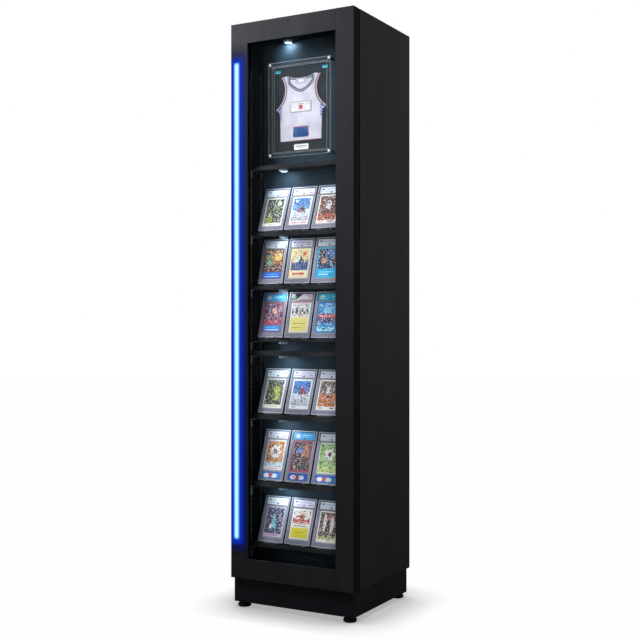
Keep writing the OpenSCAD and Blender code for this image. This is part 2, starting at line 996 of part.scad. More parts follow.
module frame_tray() {
    x1 = frame_x + frame_w;
    z1 = frame_z + frame_h;
    b = frame_border;
    color(clear)
        placed()
            difference() {
                union() {
                    block([frame_x, frame_y, frame_z], [x1, frame_y + sheet_t, z1]);
                    block([frame_x + b, frame_y, frame_z + b], [x1 - b, display_y, z1 - b]);
                }
                block([frame_x + b + sheet_t, frame_y + sheet_t, frame_z + b + sheet_t],
                    [x1 - b - sheet_t, display_y + over, z1 - b - sheet_t]);
                for (p = stud_places)
                    rod_y([p[0], frame_y - over, p[1]], stud_r + screw_play, sheet_t + 2 * over);
            }
}

module frame_backing() {
    x0 = jersey_x - board_w / 2;
    z0 = frame_z + frame_h / 2 - board_h / 2;
    color(dark)
        placed()
            block([x0, display_y - board_t, z0], [x0 + board_w, display_y, z0 + board_h]);
}

// Outline of the right half of the jersey, from the middle outwards
module jersey_half() {
    armhole_r = 0.38 * jersey_w;
    armhole_x = 0.7 * jersey_w;
    armhole_z = 0.795 * jersey_h;
    armpit_z = 0.51 * jersey_h;
    shoulder_x = 0.4 * jersey_w;
    neck_x = 0.22 * jersey_w;
    hem_x = 0.4 * jersey_w;
    flare_h = 20;
    tip_h = 4;
    shoulder_drop = 4;
    neck_drop = 3;
    difference() {
        polygon([[0, 0], [hem_x, 0], [hem_x, armpit_z - flare_h], [jersey_w / 2, armpit_z],
            [jersey_w / 2, armpit_z + tip_h], [shoulder_x, jersey_h - shoulder_drop],
            [neck_x, jersey_h], [0, jersey_h - neck_drop]]);
        translate([armhole_x, armhole_z])
            circle(r = armhole_r);
    }
}

module jersey() {
    color("#dcdcec")
        placed()
            translate([jersey_x, jersey_y + jersey_t, jersey_z])
                rotate([90, 0, 0])
                    linear_extrude(height = jersey_t)
                        union() {
                            jersey_half();
                            mirror([1, 0])
                                jersey_half();
                        }
}

// Plain plate and patch on the jersey, and the caption plate below it
module frame_plaques() {
    plaque_t = 1;
    plate_up = 0.43 * jersey_h;
    patch_up = 10;
    caption_gap = 10;
    color(steel)
        placed()
            translate([jersey_x, jersey_y - plaque_t, jersey_z]) {
                translate([-plate_w / 2, 0, plate_up])
                    cube([plate_w, plaque_t, plate_h]);
                translate([-patch_w / 2, 0, patch_up])
                    cube([patch_w, plaque_t, patch_h]);
                translate([-caption_w / 2, jersey_t + rest_play, -caption_gap - caption_h])
                    cube([caption_w, plaque_t, caption_h]);
            }
}

module frame_studs() {
    head_t = 2;
    spacer_r = stud_r + 1.5;
    head_r = spacer_r;
    color(steel)
        placed()
            for (p = stud_places) {
                rod_y([p[0], frame_y - head_t, p[1]], head_r, head_t);
                rod_y([p[0], frame_y - head_t, p[1]], stud_r, head_t + frame_d + stud_in);
                rod_y([p[0], frame_y + sheet_t, p[1]], spacer_r, frame_d - sheet_t);
            }
}

/* Driver, power inlet and leads in the space behind the display */
jack_r = 5.5;
jack_len = 18;
jack_end = rear_y + rear_t - jack_len;
jack_lead = 12;
lead_z = ceiling_z + ceiling_t + lead_r + lead_play;
lead_y = display_y + back_t + lead_r + rest_play;

module led_driver() {
    lug_h = 10;
    lug_t = 3;
    lug_hole_r = 2;
    lug_hole_x = 8;
    notch_d = 8;
    x0 = inlet_x - driver_w / 2;
    y0 = display_y + back_t;
    z0 = floor_z + driver_z;
    color("#d8d9da")
        placed()
            difference() {
                union() {
                    block([x0, y0, z0], [x0 + driver_w, y0 + driver_t, z0 + driver_h]);
                    block([x0, y0, z0 - lug_h], [x0 + driver_w, y0 + lug_t, z0 + driver_h + lug_h]);
                }
                for (x = [x0 + lug_hole_x, x0 + driver_w - lug_hole_x],
                    z = [z0 - lug_h / 2, z0 + driver_h + lug_h / 2])
                    rod_y([x, y0 - over, z], lug_hole_r, lug_t + 2 * over);
                for (z = [z0 - lug_h - over, z0 + driver_h])
                    translate([inlet_x - lead_r - over, y0 - over, z])
                        cube([2 * (lead_r + over), notch_d + over, lug_h + over]);
            }
}

module power_inlet() {
    pin_r = 1;
    pin_l = 8.5;
    bore_r = 2.75;
    bore_d = 9;
    rim_r = jack_r + 2.5;
    rim_t = 1.5;
    nut_t = 3;
    y0 = rear_y + rear_t;
    z = floor_z + inlet_z;
    color(dark)
        placed() {
            difference() {
                union() {
                    rod_y([inlet_x, jack_end, z], jack_r, jack_len);
                    rod_y([inlet_x, y0, z], rim_r, rim_t);
                    rod_y([inlet_x, rear_y - nut_t, z], rim_r, nut_t);
                }
                rod_y([inlet_x, y0 - bore_d, z], bore_r, bore_d + rim_t + over);
            }
            rod_y([inlet_x, y0 - bore_d, z], pin_r, pin_l);
        }
}

module wiring() {
    z_in = floor_z + inlet_z;
    z_low = floor_z + lead_r + rest_play;
    drop_y = jack_end - jack_lead;
    driver_low = floor_z + driver_z;
    driver_high = driver_low + driver_h;
    spot_x = mid_x + spot_shift;
    color(dark)
        placed() {
            union() {
                rod_y([inlet_x, drop_y, z_in], lead_r, jack_lead);
                translate([inlet_x, drop_y, z_in])
                    sphere(r = lead_r);
                rod_z([inlet_x, drop_y, z_low], lead_r, z_in - z_low);
                translate([inlet_x, drop_y, z_low])
                    sphere(r = lead_r);
                rod_y([inlet_x, lead_y, z_low], lead_r, drop_y - lead_y);
                translate([inlet_x, lead_y, z_low])
                    sphere(r = lead_r);
                rod_z([inlet_x, lead_y, z_low], lead_r, driver_low - z_low);
            }
            union() {
                rod_z([inlet_x, lead_y, driver_high], lead_r, lead_z - driver_high);
                translate([inlet_x, lead_y, lead_z])
                    sphere(r = lead_r);
                rod_y([inlet_x, ceiling_spot_y, lead_z], lead_r, lead_y - ceiling_spot_y);
                translate([inlet_x, ceiling_spot_y, lead_z])
                    sphere(r = lead_r);
                rod_x([inlet_x, ceiling_spot_y, lead_z], lead_r, spot_x - inlet_x);
                translate([spot_x, ceiling_spot_y, lead_z])
                    sphere(r = lead_r);
                rod_z([spot_x, ceiling_spot_y, ceiling_z], lead_r, lead_z - ceiling_z);
            }
        }
}

/* Slabs: two clear halves that hold a card and a paper label */
front_share = 0.45;
least_window = 12;
function slab_x(i) = inner_x + slab_margin + i * (slab_w + slab_gap);

// Puts a slab's own measures, front lower left corner at the origin, onto its easel
module leaning(r, i) {
    z = shelf_top(row_shelf[r]) + easel_rise;
    translate([slab_x(i), slab_front, z])
        rotate([-row_lean[r], 0, 0])
            children();
}

module slab(h) {
    half = slab_t * front_share;
    rim = 0.8;
    border = 5;
    margin = 2;
    pocket = card_t + 0.1;
    label_x = (slab_w - label_w) / 2;
    card_x = (slab_w - card_w) / 2;
    label_z = h - border - label_h;
    card_z = label_z - border - card_h;
    second_h = card_z - 2 * border;
    difference() {
        block([0, half + seam, 0], [slab_w, slab_t, h]);
        window([card_x, half, card_z], card_w, card_h, pocket, rest_play);
        window([label_x, half, label_z], label_w, label_h, pocket, rest_play);
    }
    difference() {
        block([0, 0, 0], [slab_w, half, h]);
        window([card_x, 0, card_z], card_w, card_h, rim, margin);
        window([label_x, 0, label_z], label_w, label_h, rim, margin);
        if (second_h > least_window)
            window([card_x, 0, border], card_w, second_h, rim, 0);
    }
    translate([card_x, half + seam, card_z])
        cube([card_w, card_t, card_h]);
    translate([label_x, half + seam, label_z])
        cube([label_w, card_t, label_h]);
}

// A shallow cut of depth d behind the plane of p, larger than w by h by a margin all round
module window(p, w, h, d, margin) {
    translate([p[0] - margin, p[1] - over, p[2] - margin])
        cube([w + 2 * margin, d + over, h + 2 * margin]);
}

module slab_row(r) {
    color(clear)
        placed()
            for (i = [0 : 2])
                leaning(r, i)
                    slab(row_slab_h[r]);
}

// A clear easel: a foot plate, a tilted seat and rest, a rear strut and two front hooks
module easel(r, i) {
    lean = row_lean[r];
    rest_share = 0.55;
    strut_drop = 1;
    rib_drop = 1.2;
    inset = 0.4;
    rest_h = rest_share * row_slab_h[r];
    z0 = shelf_top(row_shelf[r]);
    x0 = slab_x(i) + (slab_w - easel_w) / 2;
    t = easel_t;
    p = slab_play;
    strut_y = slab_front + rest_h * sin(lean) + (slab_t + p) * cos(lean);
    strut_z = easel_rise + rest_h * cos(lean) - (slab_t + p + t) * sin(lean) - strut_drop;
    translate([x0, slab_front, z0 + easel_rise])
        rotate([-lean, 0, 0]) {
            block([0, inset - p - t, -p - t], [easel_w, slab_t + p + t, -p]);
            block([0, slab_t + p, inset - p - t], [easel_w, slab_t + p + t - inset, rest_h]);
            for (x = [0, easel_w - hook_w])
                block([x, -p - t, inset - p - t], [x + hook_w, -p, hook_h]);
        }
    block([x0, slab_front, z0], [x0 + easel_w, strut_y + t, z0 + t]);
    block([x0, strut_y, z0], [x0 + easel_w, strut_y + t, z0 + strut_z]);
    translate([x0, slab_front + hook_set, z0])
        cube([easel_w, t, easel_rise - p - rib_drop]);
}

module easel_row(r) {
    color(clear)
        placed()
            for (i = [0 : 2])
                union()
                    easel(r, i);
}

module slabs_row_1() {
    slab_row(0);
}

module slabs_row_2() {
    slab_row(1);
}

module slabs_row_3() {
    slab_row(2);
}

module slabs_row_4() {
    slab_row(3);
}

module slabs_row_5() {
    slab_row(4);
}

module slabs_row_6() {
    slab_row(5);
}

module easels_row_1() {
    easel_row(0);
}

module easels_row_2() {
    easel_row(1);
}

module easels_row_3() {
    easel_row(2);
}

module easels_row_4() {
    easel_row(3);
}

module easels_row_5() {
    easel_row(4);
}

module easels_row_6() {
    easel_row(5);
}

side_left();
side_right();
top_panel();
bottom_panel();
rear_panel();
case_fasteners();
liner_left();
liner_right();
ceiling_board();
display_back();
plinth();
foot_front_left();
foot_front_right();
foot_rear_left();
foot_rear_right();
shelf_standards();
shelf_brackets();
shelf_1();
shelf_2();
shelf_3();
shelf_4();
shelf_5();
shelf_6();
shelf_7();
shelf_8();
door_stile_left();
door_stile_right();
door_rail_top();
door_rail_bottom();
door_glass();
glass_gasket();
glass_clips();
light_channel();
led_strip();
light_diffuser();
door_hinge_leaves();
case_hinge_leaves();
latch_body();
latch_plunger();
latch_strike();
frame_tray();
frame_backing();
jersey();
frame_plaques();
frame_studs();
led_driver();
power_inlet();
wiring();
slabs_row_1();
slabs_row_2();
slabs_row_3();
slabs_row_4();
slabs_row_5();
slabs_row_6();
easels_row_1();
easels_row_2();
easels_row_3();
easels_row_4();
easels_row_5();
easels_row_6();
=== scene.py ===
import json
import math

import bmesh
import bpy
from mathutils import Matrix, Vector


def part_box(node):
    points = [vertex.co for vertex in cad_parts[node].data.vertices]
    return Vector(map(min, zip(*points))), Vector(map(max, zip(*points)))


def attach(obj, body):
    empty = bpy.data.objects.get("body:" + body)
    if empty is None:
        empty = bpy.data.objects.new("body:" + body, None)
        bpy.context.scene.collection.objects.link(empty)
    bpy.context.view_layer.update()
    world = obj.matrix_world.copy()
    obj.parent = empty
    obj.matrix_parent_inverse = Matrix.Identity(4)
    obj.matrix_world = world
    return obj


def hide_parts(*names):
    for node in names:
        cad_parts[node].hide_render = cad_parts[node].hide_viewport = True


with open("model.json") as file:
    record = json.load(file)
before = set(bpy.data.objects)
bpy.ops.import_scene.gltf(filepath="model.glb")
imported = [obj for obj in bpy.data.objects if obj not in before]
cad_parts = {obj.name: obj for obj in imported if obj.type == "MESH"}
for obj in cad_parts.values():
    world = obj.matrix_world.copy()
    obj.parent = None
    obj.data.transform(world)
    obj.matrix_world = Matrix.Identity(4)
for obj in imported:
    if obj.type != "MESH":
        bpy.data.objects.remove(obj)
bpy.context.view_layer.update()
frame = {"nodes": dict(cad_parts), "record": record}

MM = 0.001
# The body that each CAD node moves with
BODY = {node: body for body, nodes in frame["record"]["behaviour"]["bodies"].items() for node in nodes}

# The case's outer faces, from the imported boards
case_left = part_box("side_left")[0].x
case_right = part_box("side_right")[1].x
case_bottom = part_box("bottom_panel")[0].z
case_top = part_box("top_panel")[1].z
door_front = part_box("door_rail_top")[0].y

# Faces that meet at a sharper angle than this, in degrees, keep a crisp edge
CREASE = 35


def box_mm(node):
    """A node's lowest and highest corners at rest, in millimetres."""
    low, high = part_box(node)
    return low / MM, high / MM


# Colours and finishes


def ink(code):
    """The linear colour of a six digit web colour."""
    channels = [int(code[i:i + 2], 16) / 255 for i in (0, 2, 4)]
    return tuple(c / 12.92 if c <= 0.04045 else ((c + 0.055) / 1.055) ** 2.4 for c in channels)


class Finish:
    """One material and the nodes that colour it."""

    def __init__(self, name, roughness=0.5, metallic=0.0, specular=0.5, alpha=1.0, sheen=0.0):
        self.material = bpy.data.materials.new(name)
        self.material.use_nodes = True
        self.tree = self.material.node_tree
        self.tree.nodes.clear()
        self.shader = self.add("ShaderNodeBsdfPrincipled")
        output = self.add("ShaderNodeOutputMaterial")
        self.join(self.shader.outputs["BSDF"], output.inputs["Surface"])
        self.set("Roughness", roughness)
        self.set("Metallic", metallic)
        self.set("Specular IOR Level", specular)
        self.set("Alpha", alpha)
        self.set("Sheen Weight", sheen)
        self.place = None

    def add(self, kind, **settings):
        node = self.tree.nodes.new(kind)
        for key, value in settings.items():
            setattr(node, key, value)
        return node

    def join(self, output, socket):
        self.tree.links.new(output, socket)

    def feed(self, socket, value):
        """Links a socket's value, or writes a number, a colour or a vector on the socket."""
        if isinstance(value, bpy.types.NodeSocket):
            self.join(value, socket)
        elif isinstance(value, (tuple, list, Vector)):
            numbers = list(value)
            wide = hasattr(socket.default_value, "__len__") and len(socket.default_value) == 4
            socket.default_value = numbers[:3] + [1.0] if wide else numbers
        elif hasattr(socket.default_value, "__len__"):
            socket.default_value = [value] * len(socket.default_value)
        else:
            socket.default_value = value

    def set(self, socket, value):
        self.feed(self.shader.inputs[socket], value)

    def math(self, operation, a, b=0.0, c=0.0, clamp=False):
        node = self.add("ShaderNodeMath", operation=operation, use_clamp=clamp)
        for socket, value in zip(node.inputs, (a, b, c)):
            self.feed(socket, value)
        return node.outputs[0]

    def apart(self, a, b):
        """How far a lies from b, either way."""
        return self.math("ABSOLUTE", self.math("SUBTRACT", a, b))

    def beyond(self, value, low, high):
        """How far a value lies outside low..high, and less than nothing inside."""
        return self.math("SUBTRACT", self.apart(value, (low + high) / 2), (high - low) / 2)

    def length(self, a, b):
        """The straight distance of two steps at right angles."""
        return self.math("SQRT", self.math("MULTIPLY_ADD", a, a, self.math("MULTIPLY", b, b)))

    def vector(self, operation, a, b=(0, 0, 0), output=0):
        node = self.add("ShaderNodeVectorMath", operation=operation)
        self.feed(node.inputs[0], a)
        self.feed(node.inputs[1], b)
        return node.outputs[output]

    def mix(self, share, a, b):
        node = self.add("ShaderNodeMix", data_type="RGBA")
        self.feed(node.inputs[0], share)
        self.feed(node.inputs[6], a)
        self.feed(node.inputs[7], b)
        return node.outputs[2]

    def between(self, value, low, high, to_low=0.0, to_high=1.0):
        """The value mapped from low..high to another range, held at its ends."""
        node = self.add("ShaderNodeMapRange")
        for socket, number in zip(node.inputs, (value, low, high, to_low, to_high)):
            self.feed(socket, number)
        return node.outputs[0]

    def spot(self):
        """The place on the piece, in millimetres of the part's own frame."""
        if self.place is None:
            coordinates = self.add("ShaderNodeTexCoord").outputs["Object"]
            self.place = self.vector("SCALE", coordinates)
            self.feed(self.place.node.inputs["Scale"], 1 / MM)
        return self.place

    def axes(self, vector):
        node = self.add("ShaderNodeSeparateXYZ")
        self.join(vector, node.inputs[0])
        return node.outputs

    def noise(self, size, detail=3.0, rough=0.55, vector=None, stretch=(1, 1, 1)):
        """Cloudy noise whose spots are about size millimetres wide, drawn out along stretch."""
        source = self.spot() if vector is None else vector
        node = self.add("ShaderNodeTexNoise")
        self.feed(node.inputs["Vector"], self.vector("DIVIDE", source, stretch))
        self.feed(node.inputs["Scale"], 1 / size)
        self.feed(node.inputs["Detail"], detail)
        self.feed(node.inputs["Roughness"], rough)
        return node.outputs[0]

    def bump(self, height, depth, strength=1.0):
        node = self.add("ShaderNodeBump")
        self.feed(node.inputs["Height"], height)
        self.feed(node.inputs["Distance"], depth * MM)
        self.feed(node.inputs["Strength"], strength)
        self.join(node.outputs["Normal"], self.shader.inputs["Normal"])


# How a finish's grain is drawn out along x, y and z
EVEN = (1, 1, 1)
LEVEL = (14, 1, 1)
UPRIGHT = (1, 1, 14)
# How much wider the cloudy tone changes are than the grain
CLOUD_TO_GRAIN = 90


def grained(name, dark, light, grain=EVEN, size=0.8, depth=0.05, glow=0.0, **sockets):
    """A board or sheet finish: two close tones in fine drawn-out grain, with the relief of the grain."""
    finish = Finish(name, **sockets)
    fine = finish.noise(size, detail=4.0, stretch=grain)
    broad = finish.noise(size * CLOUD_TO_GRAIN, detail=2.0, stretch=grain)
    tone = finish.math("MULTIPLY_ADD", broad, 0.5, finish.math("MULTIPLY", fine, 0.5))
    colour = finish.mix(finish.between(tone, 0.36, 0.64), ink(dark), ink(light))
    finish.set("Base Color", colour)
    # Painted light: glow gives the finish's own colour as emission, for the studs' highlight, the spot rims
    # and the frame's edges, which are no lamps
    if glow:
        finish.set("Emission Color", colour)
        finish.set("Emission Strength", glow)
    rough = sockets.get("roughness", 0.5)
    finish.set("Roughness", finish.between(fine, 0.3, 0.7, rough - 0.05, rough + 0.07))
    finish.bump(fine, depth)
    return finish


LAMINATE = {"dark": "35363a", "light": "404145", "size": 0.9, "depth": 0.04, "roughness": 0.52,
            "specular": 0.04}


def plain_finishes():
    """The finishes of boards, metal, plastic and clear sheet, by name."""
    found = {
        "laminate": grained("satin_black_laminate", grain=UPRIGHT, **LAMINATE),
        "level_laminate": grained("satin_black_top", grain=LEVEL, **LAMINATE),
        # Painted shade: the door stile's outer edge faces darker than the laminate, for the shade along the
        # door's edge
        "door_edge": grained("door_edge_painted_shade", "17181a", "1e1f22", UPRIGHT, 0.9, 0.04,
                             roughness=0.6, specular=0.02),
        # Painted highlight: a lighter finish on the rounded edges of the side boards
        "arris": grained("laminate_arris_painted_highlight", "4c4e53", "5d6066", UPRIGHT, 0.9, 0.02,
                         roughness=0.4, specular=0.1),
        "lining": grained("lining_black", "040507", "08090c", UPRIGHT, 0.9, 0.04,
                          roughness=0.6, specular=0.03),
        "shelf": grained("shelf_black", "26272a", "303235", LEVEL, 0.8, 0.04,
                         roughness=0.5, specular=0.06),
        "display_back": grained("display_back_grey", "25303a", "2d3944", EVEN, 1.2, 0.03,
                                roughness=0.5, specular=0.15),
        "rear_board": grained("rear_hardboard", "26272a", "303236", EVEN, 0.6, 0.05,
                              roughness=0.7, specular=0.05),
        "plinth": grained("plinth_black", "24262a", "2d2f34", LEVEL, 0.9, 0.04,
                          roughness=0.55, specular=0.04),
        "zinc": grained("zinc_plated_steel", "8d9196", "b6babf", (1, 1, 6), 0.5, 0.01,
                        roughness=0.34, metallic=1.0),
        # Painted shade: dark steel on the standards' sides and backs and on the studs' spacers behind the
        # frame's sheet
        "dark_steel": grained("dark_standard_steel", "17191b", "26292c", (1, 1, 10), 0.5, 0.01,
                              roughness=0.45, metallic=0.3, specular=0.15),
        # Painted highlight: the studs' heads near white with a glow
        "stud": grained("stud_painted_highlight", "e4e8ee", "fafcff", EVEN, 1.5, 0.002,
                        roughness=0.2, metallic=0.35, glow=0.28),
        "spot_rim": grained("lit_spot_rim", "5c7482", "7f98a6", EVEN, 1.5, 0.005,
                            roughness=0.3, glow=0.22),
        "bright": grained("polished_steel", "c9ccd0", "eceef1", EVEN, 1.5, 0.002,
                          roughness=0.12, metallic=1.0),
        "plastic": grained("black_moulded_plastic", "1b1c1e", "232427", EVEN, 0.35, 0.04,
                           roughness=0.5, specular=0.2),
        "rubber": grained("black_rubber", "141415", "1c1c1e", EVEN, 0.5, 0.06,
                          roughness=0.75, specular=0.1),
        "foam": grained("sealing_foam", "121214", "1d1d20", EVEN, 0.7, 0.15,
                        roughness=0.9, specular=0.02),
        "strip": grained("white_strip_board", "d8dade", "e9eaec", EVEN, 1.0, 0.01,
                         roughness=0.5),
        "driver": grained("driver_housing", "b9bbbd", "cbcdce", (1, 1, 4), 0.6, 0.02,
                          roughness=0.45, metallic=0.4),
        "sheath": grained("lead_sheath", "1d1e20", "262729", EVEN, 0.8, 0.03, roughness=0.6),
        "mat_board": grained("black_mat_board", "1e2022", "282b2e", EVEN, 0.7, 0.08,
                             roughness=0.85, specular=0.03),
        "frost": grained("frosted_slab_rim", "6d6f82", "8d8fa0", EVEN, 2.2, 0.02,
                         roughness=0.35, alpha=0.92),
        # Painted highlight: the bright lines at a slab's rim, round its windows and under its divider
        "bead": grained("slab_edge_painted_highlight", "9a9fb0", "ced2de", EVEN, 3.0, 0.01,
                        roughness=0.2),
        "slab_side": grained("slab_side", "23262f", "3a3e4b", EVEN, 3.0, 0.01,
                             roughness=0.3, alpha=0.75),
        # Painted shade: the dark grooves round a slab's windows and along its divider
        "groove": grained("slab_groove_painted_shade", "1c1e2a", "30333f", EVEN, 2.0, 0.01, roughness=0.3),
        "acrylic": grained("clear_acrylic", "9fb4c2", "b4c6d2", EVEN, 8.0, 0.002,
                           roughness=0.04, alpha=0.07),
        # Painted glint: the clear easels' side faces in a near white colour
        "acrylic_edge": grained("acrylic_edge_painted_glint", "b9c6d0", "eef4f8", EVEN, 5.0, 0.01,
                                roughness=0.12, alpha=0.8),
        "frame_sheet": grained("clear_frame_sheet", "8fa2b0", "a4b6c2", EVEN, 8.0, 0.002,
                               roughness=0.04, alpha=0.025),
        # Painted glints: bright spots along the frame's rounded edges, with a glow
        "frame_arris": grained("lit_frame_edge", "56646e", "f2f8fc", EVEN, 5.0, 0.01,
                               roughness=0.15, alpha=0.9, glow=1.5),
        # Painted light: the channel's dark blue colour stands in for the bar's blue light on it
        "channel": grained("channel_lit_blue", "101c38", "16244a", (1, 1, 20), 0.3, 0.01,
                           roughness=0.45, metallic=0.3, specular=0.2),
        "pane": grained("slab_window", "aab4c0", "c0c8d2", EVEN, 12.0, 0.001,
                        roughness=0.05, alpha=0.05),
        "glass": grained("door_glass", "10181a", "182224", EVEN, 40.0, 0.001,
                         roughness=0.02, alpha=0.03),
        "glass_edge": grained("glass_edge", "3f6a62", "5a8a80", EVEN, 6.0, 0.01,
                              roughness=0.1, alpha=0.8),
    }
    # Painted light: the bar's blue light on the channel as blue emission, full along the middle and weaker
    # near its ends
    channel = found["channel"]
    low, high = box_mm("light_channel")
    beyond = channel.beyond(channel.axes(channel.spot())[2], low.z, high.z)
    channel.set("Emission Color", (0.003, 0.095, 0.60))
    channel.set("Emission Strength", channel.between(beyond, -9.0, 0.0, 1.0, 0.25))
    return {key: finish.material for key, finish in found.items()}


FINISH = plain_finishes()


# Mesh helpers


def wire(tree, *pairs):
    """Links each output to its socket."""
    for output, socket in pairs:
        tree.links.new(output, socket)


def link(name, mesh):
    piece = bpy.data.objects.new(name, mesh)
    bpy.context.scene.collection.objects.link(piece)
    return piece


def finished(bm, name, *materials, smooth=CREASE, outward=True):
    """Turns a bmesh into a piece whose faces are smooth up to an angle in degrees."""
    if outward:
        bmesh.ops.recalc_face_normals(bm, faces=bm.faces)
    mesh = bpy.data.meshes.new(name)
    bm.to_mesh(mesh)
    bm.free()
    for material in materials:
        mesh.materials.append(material)
    if smooth:
        for face in mesh.polygons:
            face.use_smooth = True
        mesh.set_sharp_from_angle(angle=math.radians(smooth))
    return link(name, mesh)


def stands_for(piece, *nodes, slot=None):
    """Lets a finished piece stand for its CAD nodes and move with their body."""
    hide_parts(*nodes)
    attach(piece, BODY[nodes[0]])
    return piece


def cad_copy(node):
    """A merged copy of a CAD node's mesh, in flat faces."""
    bm = bmesh.new()
    bm.from_mesh(frame["nodes"][node].data)
    bmesh.ops.remove_doubles(bm, verts=bm.verts, dist=0.01 * MM)
    bmesh.ops.dissolve_limit(bm, angle_limit=math.radians(0.5), verts=bm.verts, edges=bm.edges)
    return bm


def sharp_edges(bm):
    return [e for e in bm.edges if len(e.link_faces) == 2 and e.calc_face_angle(0) > math.radians(CREASE)]


def round_edges(bm, edges, width, segments=2, material=-1):
    """Rounds edges by width millimetres, with a material of their own or their neighbours'."""
    bmesh.ops.bevel(bm, geom=edges, offset=width * MM, offset_type="OFFSET", segments=segments, profile=0.5,
                    affect="EDGES", clamp_overlap=True, material=material)


def eased(node, width, material, edge=None, is_edge=None, segments=2):
    """A CAD node with its sharp edges rounded by width millimetres, and an own finish on them."""
    bm = cad_copy(node)
    for face in bm.faces if is_edge else ():
        face.material_index = 1 if is_edge(face) else 0
    round_edges(bm, sharp_edges(bm), width, segments, 1 if edge else -1)
    materials = [material, edge] if edge else [material]
    piece = finished(bm, node + "_eased", *materials, smooth=20, outward=False)
    return stands_for(piece, node)


def block(bm, low, high):
    """A box between two corners."""
    low, high = Vector(low), Vector(high)
    matrix = Matrix.Translation((low + high) / 2) @ Matrix.Diagonal((high - low).to_4d())
    return bmesh.ops.create_cube(bm, size=1.0, matrix=matrix)["verts"]


def turned(bm, outline, matrix, steps=32):
    """A turned part: outline is a list of (radius, height) or (radius, height, material) in millimetres."""
    rings = []
    for radius, height, *_ in outline:
        if radius == 0:
            rings.append([bm.verts.new(matrix @ Vector((0, 0, height * MM)))])
            continue
        ring = []
        for k in range(steps):
            angle = 2 * math.pi * k / steps
            point = Vector((radius * math.cos(angle), radius * math.sin(angle), height)) * MM
            ring.append(bm.verts.new(matrix @ point))
        rings.append(ring)
    for low, high, end in zip(rings, rings[1:], outline[1:]):
        for k in range(steps):
            n = (k + 1) % steps
            corners = [low[k % len(low)], low[n % len(low)], high[n % len(high)], high[k % len(high)]]
            unique = list(dict.fromkeys(corners))
            if len(unique) > 2:
                face = bm.faces.new(unique)
                face.material_index = end[2] if len(end) > 2 else 0


def turned_piece(node, outline, matrix, *materials):
    """A CAD node remade as one turned piece."""
    bm = bmesh.new()
    turned(bm, outline, matrix)
    return stands_for(finished(bm, node + "_turned", *materials), node)


def upright_at(point):
    return Matrix.Translation(point)


def facing_front(point):
    """Turns an upright axis to -Y, with the part's base at point."""
    return Matrix.Translation(point) @ Matrix.Rotation(math.pi / 2, 4, "X")


def facing_back(point):
    return Matrix.Translation(point) @ Matrix.Rotation(-math.pi / 2, 4, "X")


def repeated(name, part, places, material):
    """Copies of a part at every place, made by a node tree and turned into one plain mesh."""
    carrier = link(name, bpy.data.meshes.new(name + "_places"))
    carrier.data.from_pydata([tuple(p) for p in places], [], [])
    tree = bpy.data.node_groups.new(name + "_tree", "GeometryNodeTree")
    tree.interface.new_socket("Places", in_out="INPUT", socket_type="NodeSocketGeometry")
    part_socket = tree.interface.new_socket("Part", in_out="INPUT", socket_type="NodeSocketObject")
    size_socket = tree.interface.new_socket("Size", in_out="INPUT", socket_type="NodeSocketFloat")
    tree.interface.new_socket("Copies", in_out="OUTPUT", socket_type="NodeSocketGeometry")
    source = tree.nodes.new("NodeGroupInput")
    target = tree.nodes.new("NodeGroupOutput")
    points = tree.nodes.new("GeometryNodeMeshToPoints")
    shape = tree.nodes.new("GeometryNodeObjectInfo")
    copies = tree.nodes.new("GeometryNodeInstanceOnPoints")
    real = tree.nodes.new("GeometryNodeRealizeInstances")
    finish = tree.nodes.new("GeometryNodeSetMaterial")
    finish.inputs["Material"].default_value = material
    wire(tree,
         (source.outputs["Places"], points.inputs["Mesh"]),
         (source.outputs["Part"], shape.inputs["Object"]),
         (points.outputs["Points"], copies.inputs["Points"]),
         (shape.outputs["Geometry"], copies.inputs["Instance"]),
         (source.outputs["Size"], copies.inputs["Scale"]),
         (copies.outputs["Instances"], real.inputs["Geometry"]),
         (real.outputs["Geometry"], finish.inputs["Geometry"]),
         (finish.outputs["Geometry"], target.inputs["Copies"]))
    modifier = carrier.modifiers.new("copies", "NODES")
    modifier.node_group = tree
    modifier[part_socket.identifier] = part
    modifier[size_socket.identifier] = 1.0
    bpy.context.view_layer.update()
    evaluated = carrier.evaluated_get(bpy.context.evaluated_depsgraph_get())
    mesh = bpy.data.meshes.new_from_object(evaluated)
    carrier.modifiers.clear()
    carrier.data = mesh
    bpy.data.objects.remove(part)
    for face in mesh.polygons:
        face.use_smooth = True
    mesh.set_sharp_from_angle(angle=math.radians(CREASE))
    return carrier


# Boards


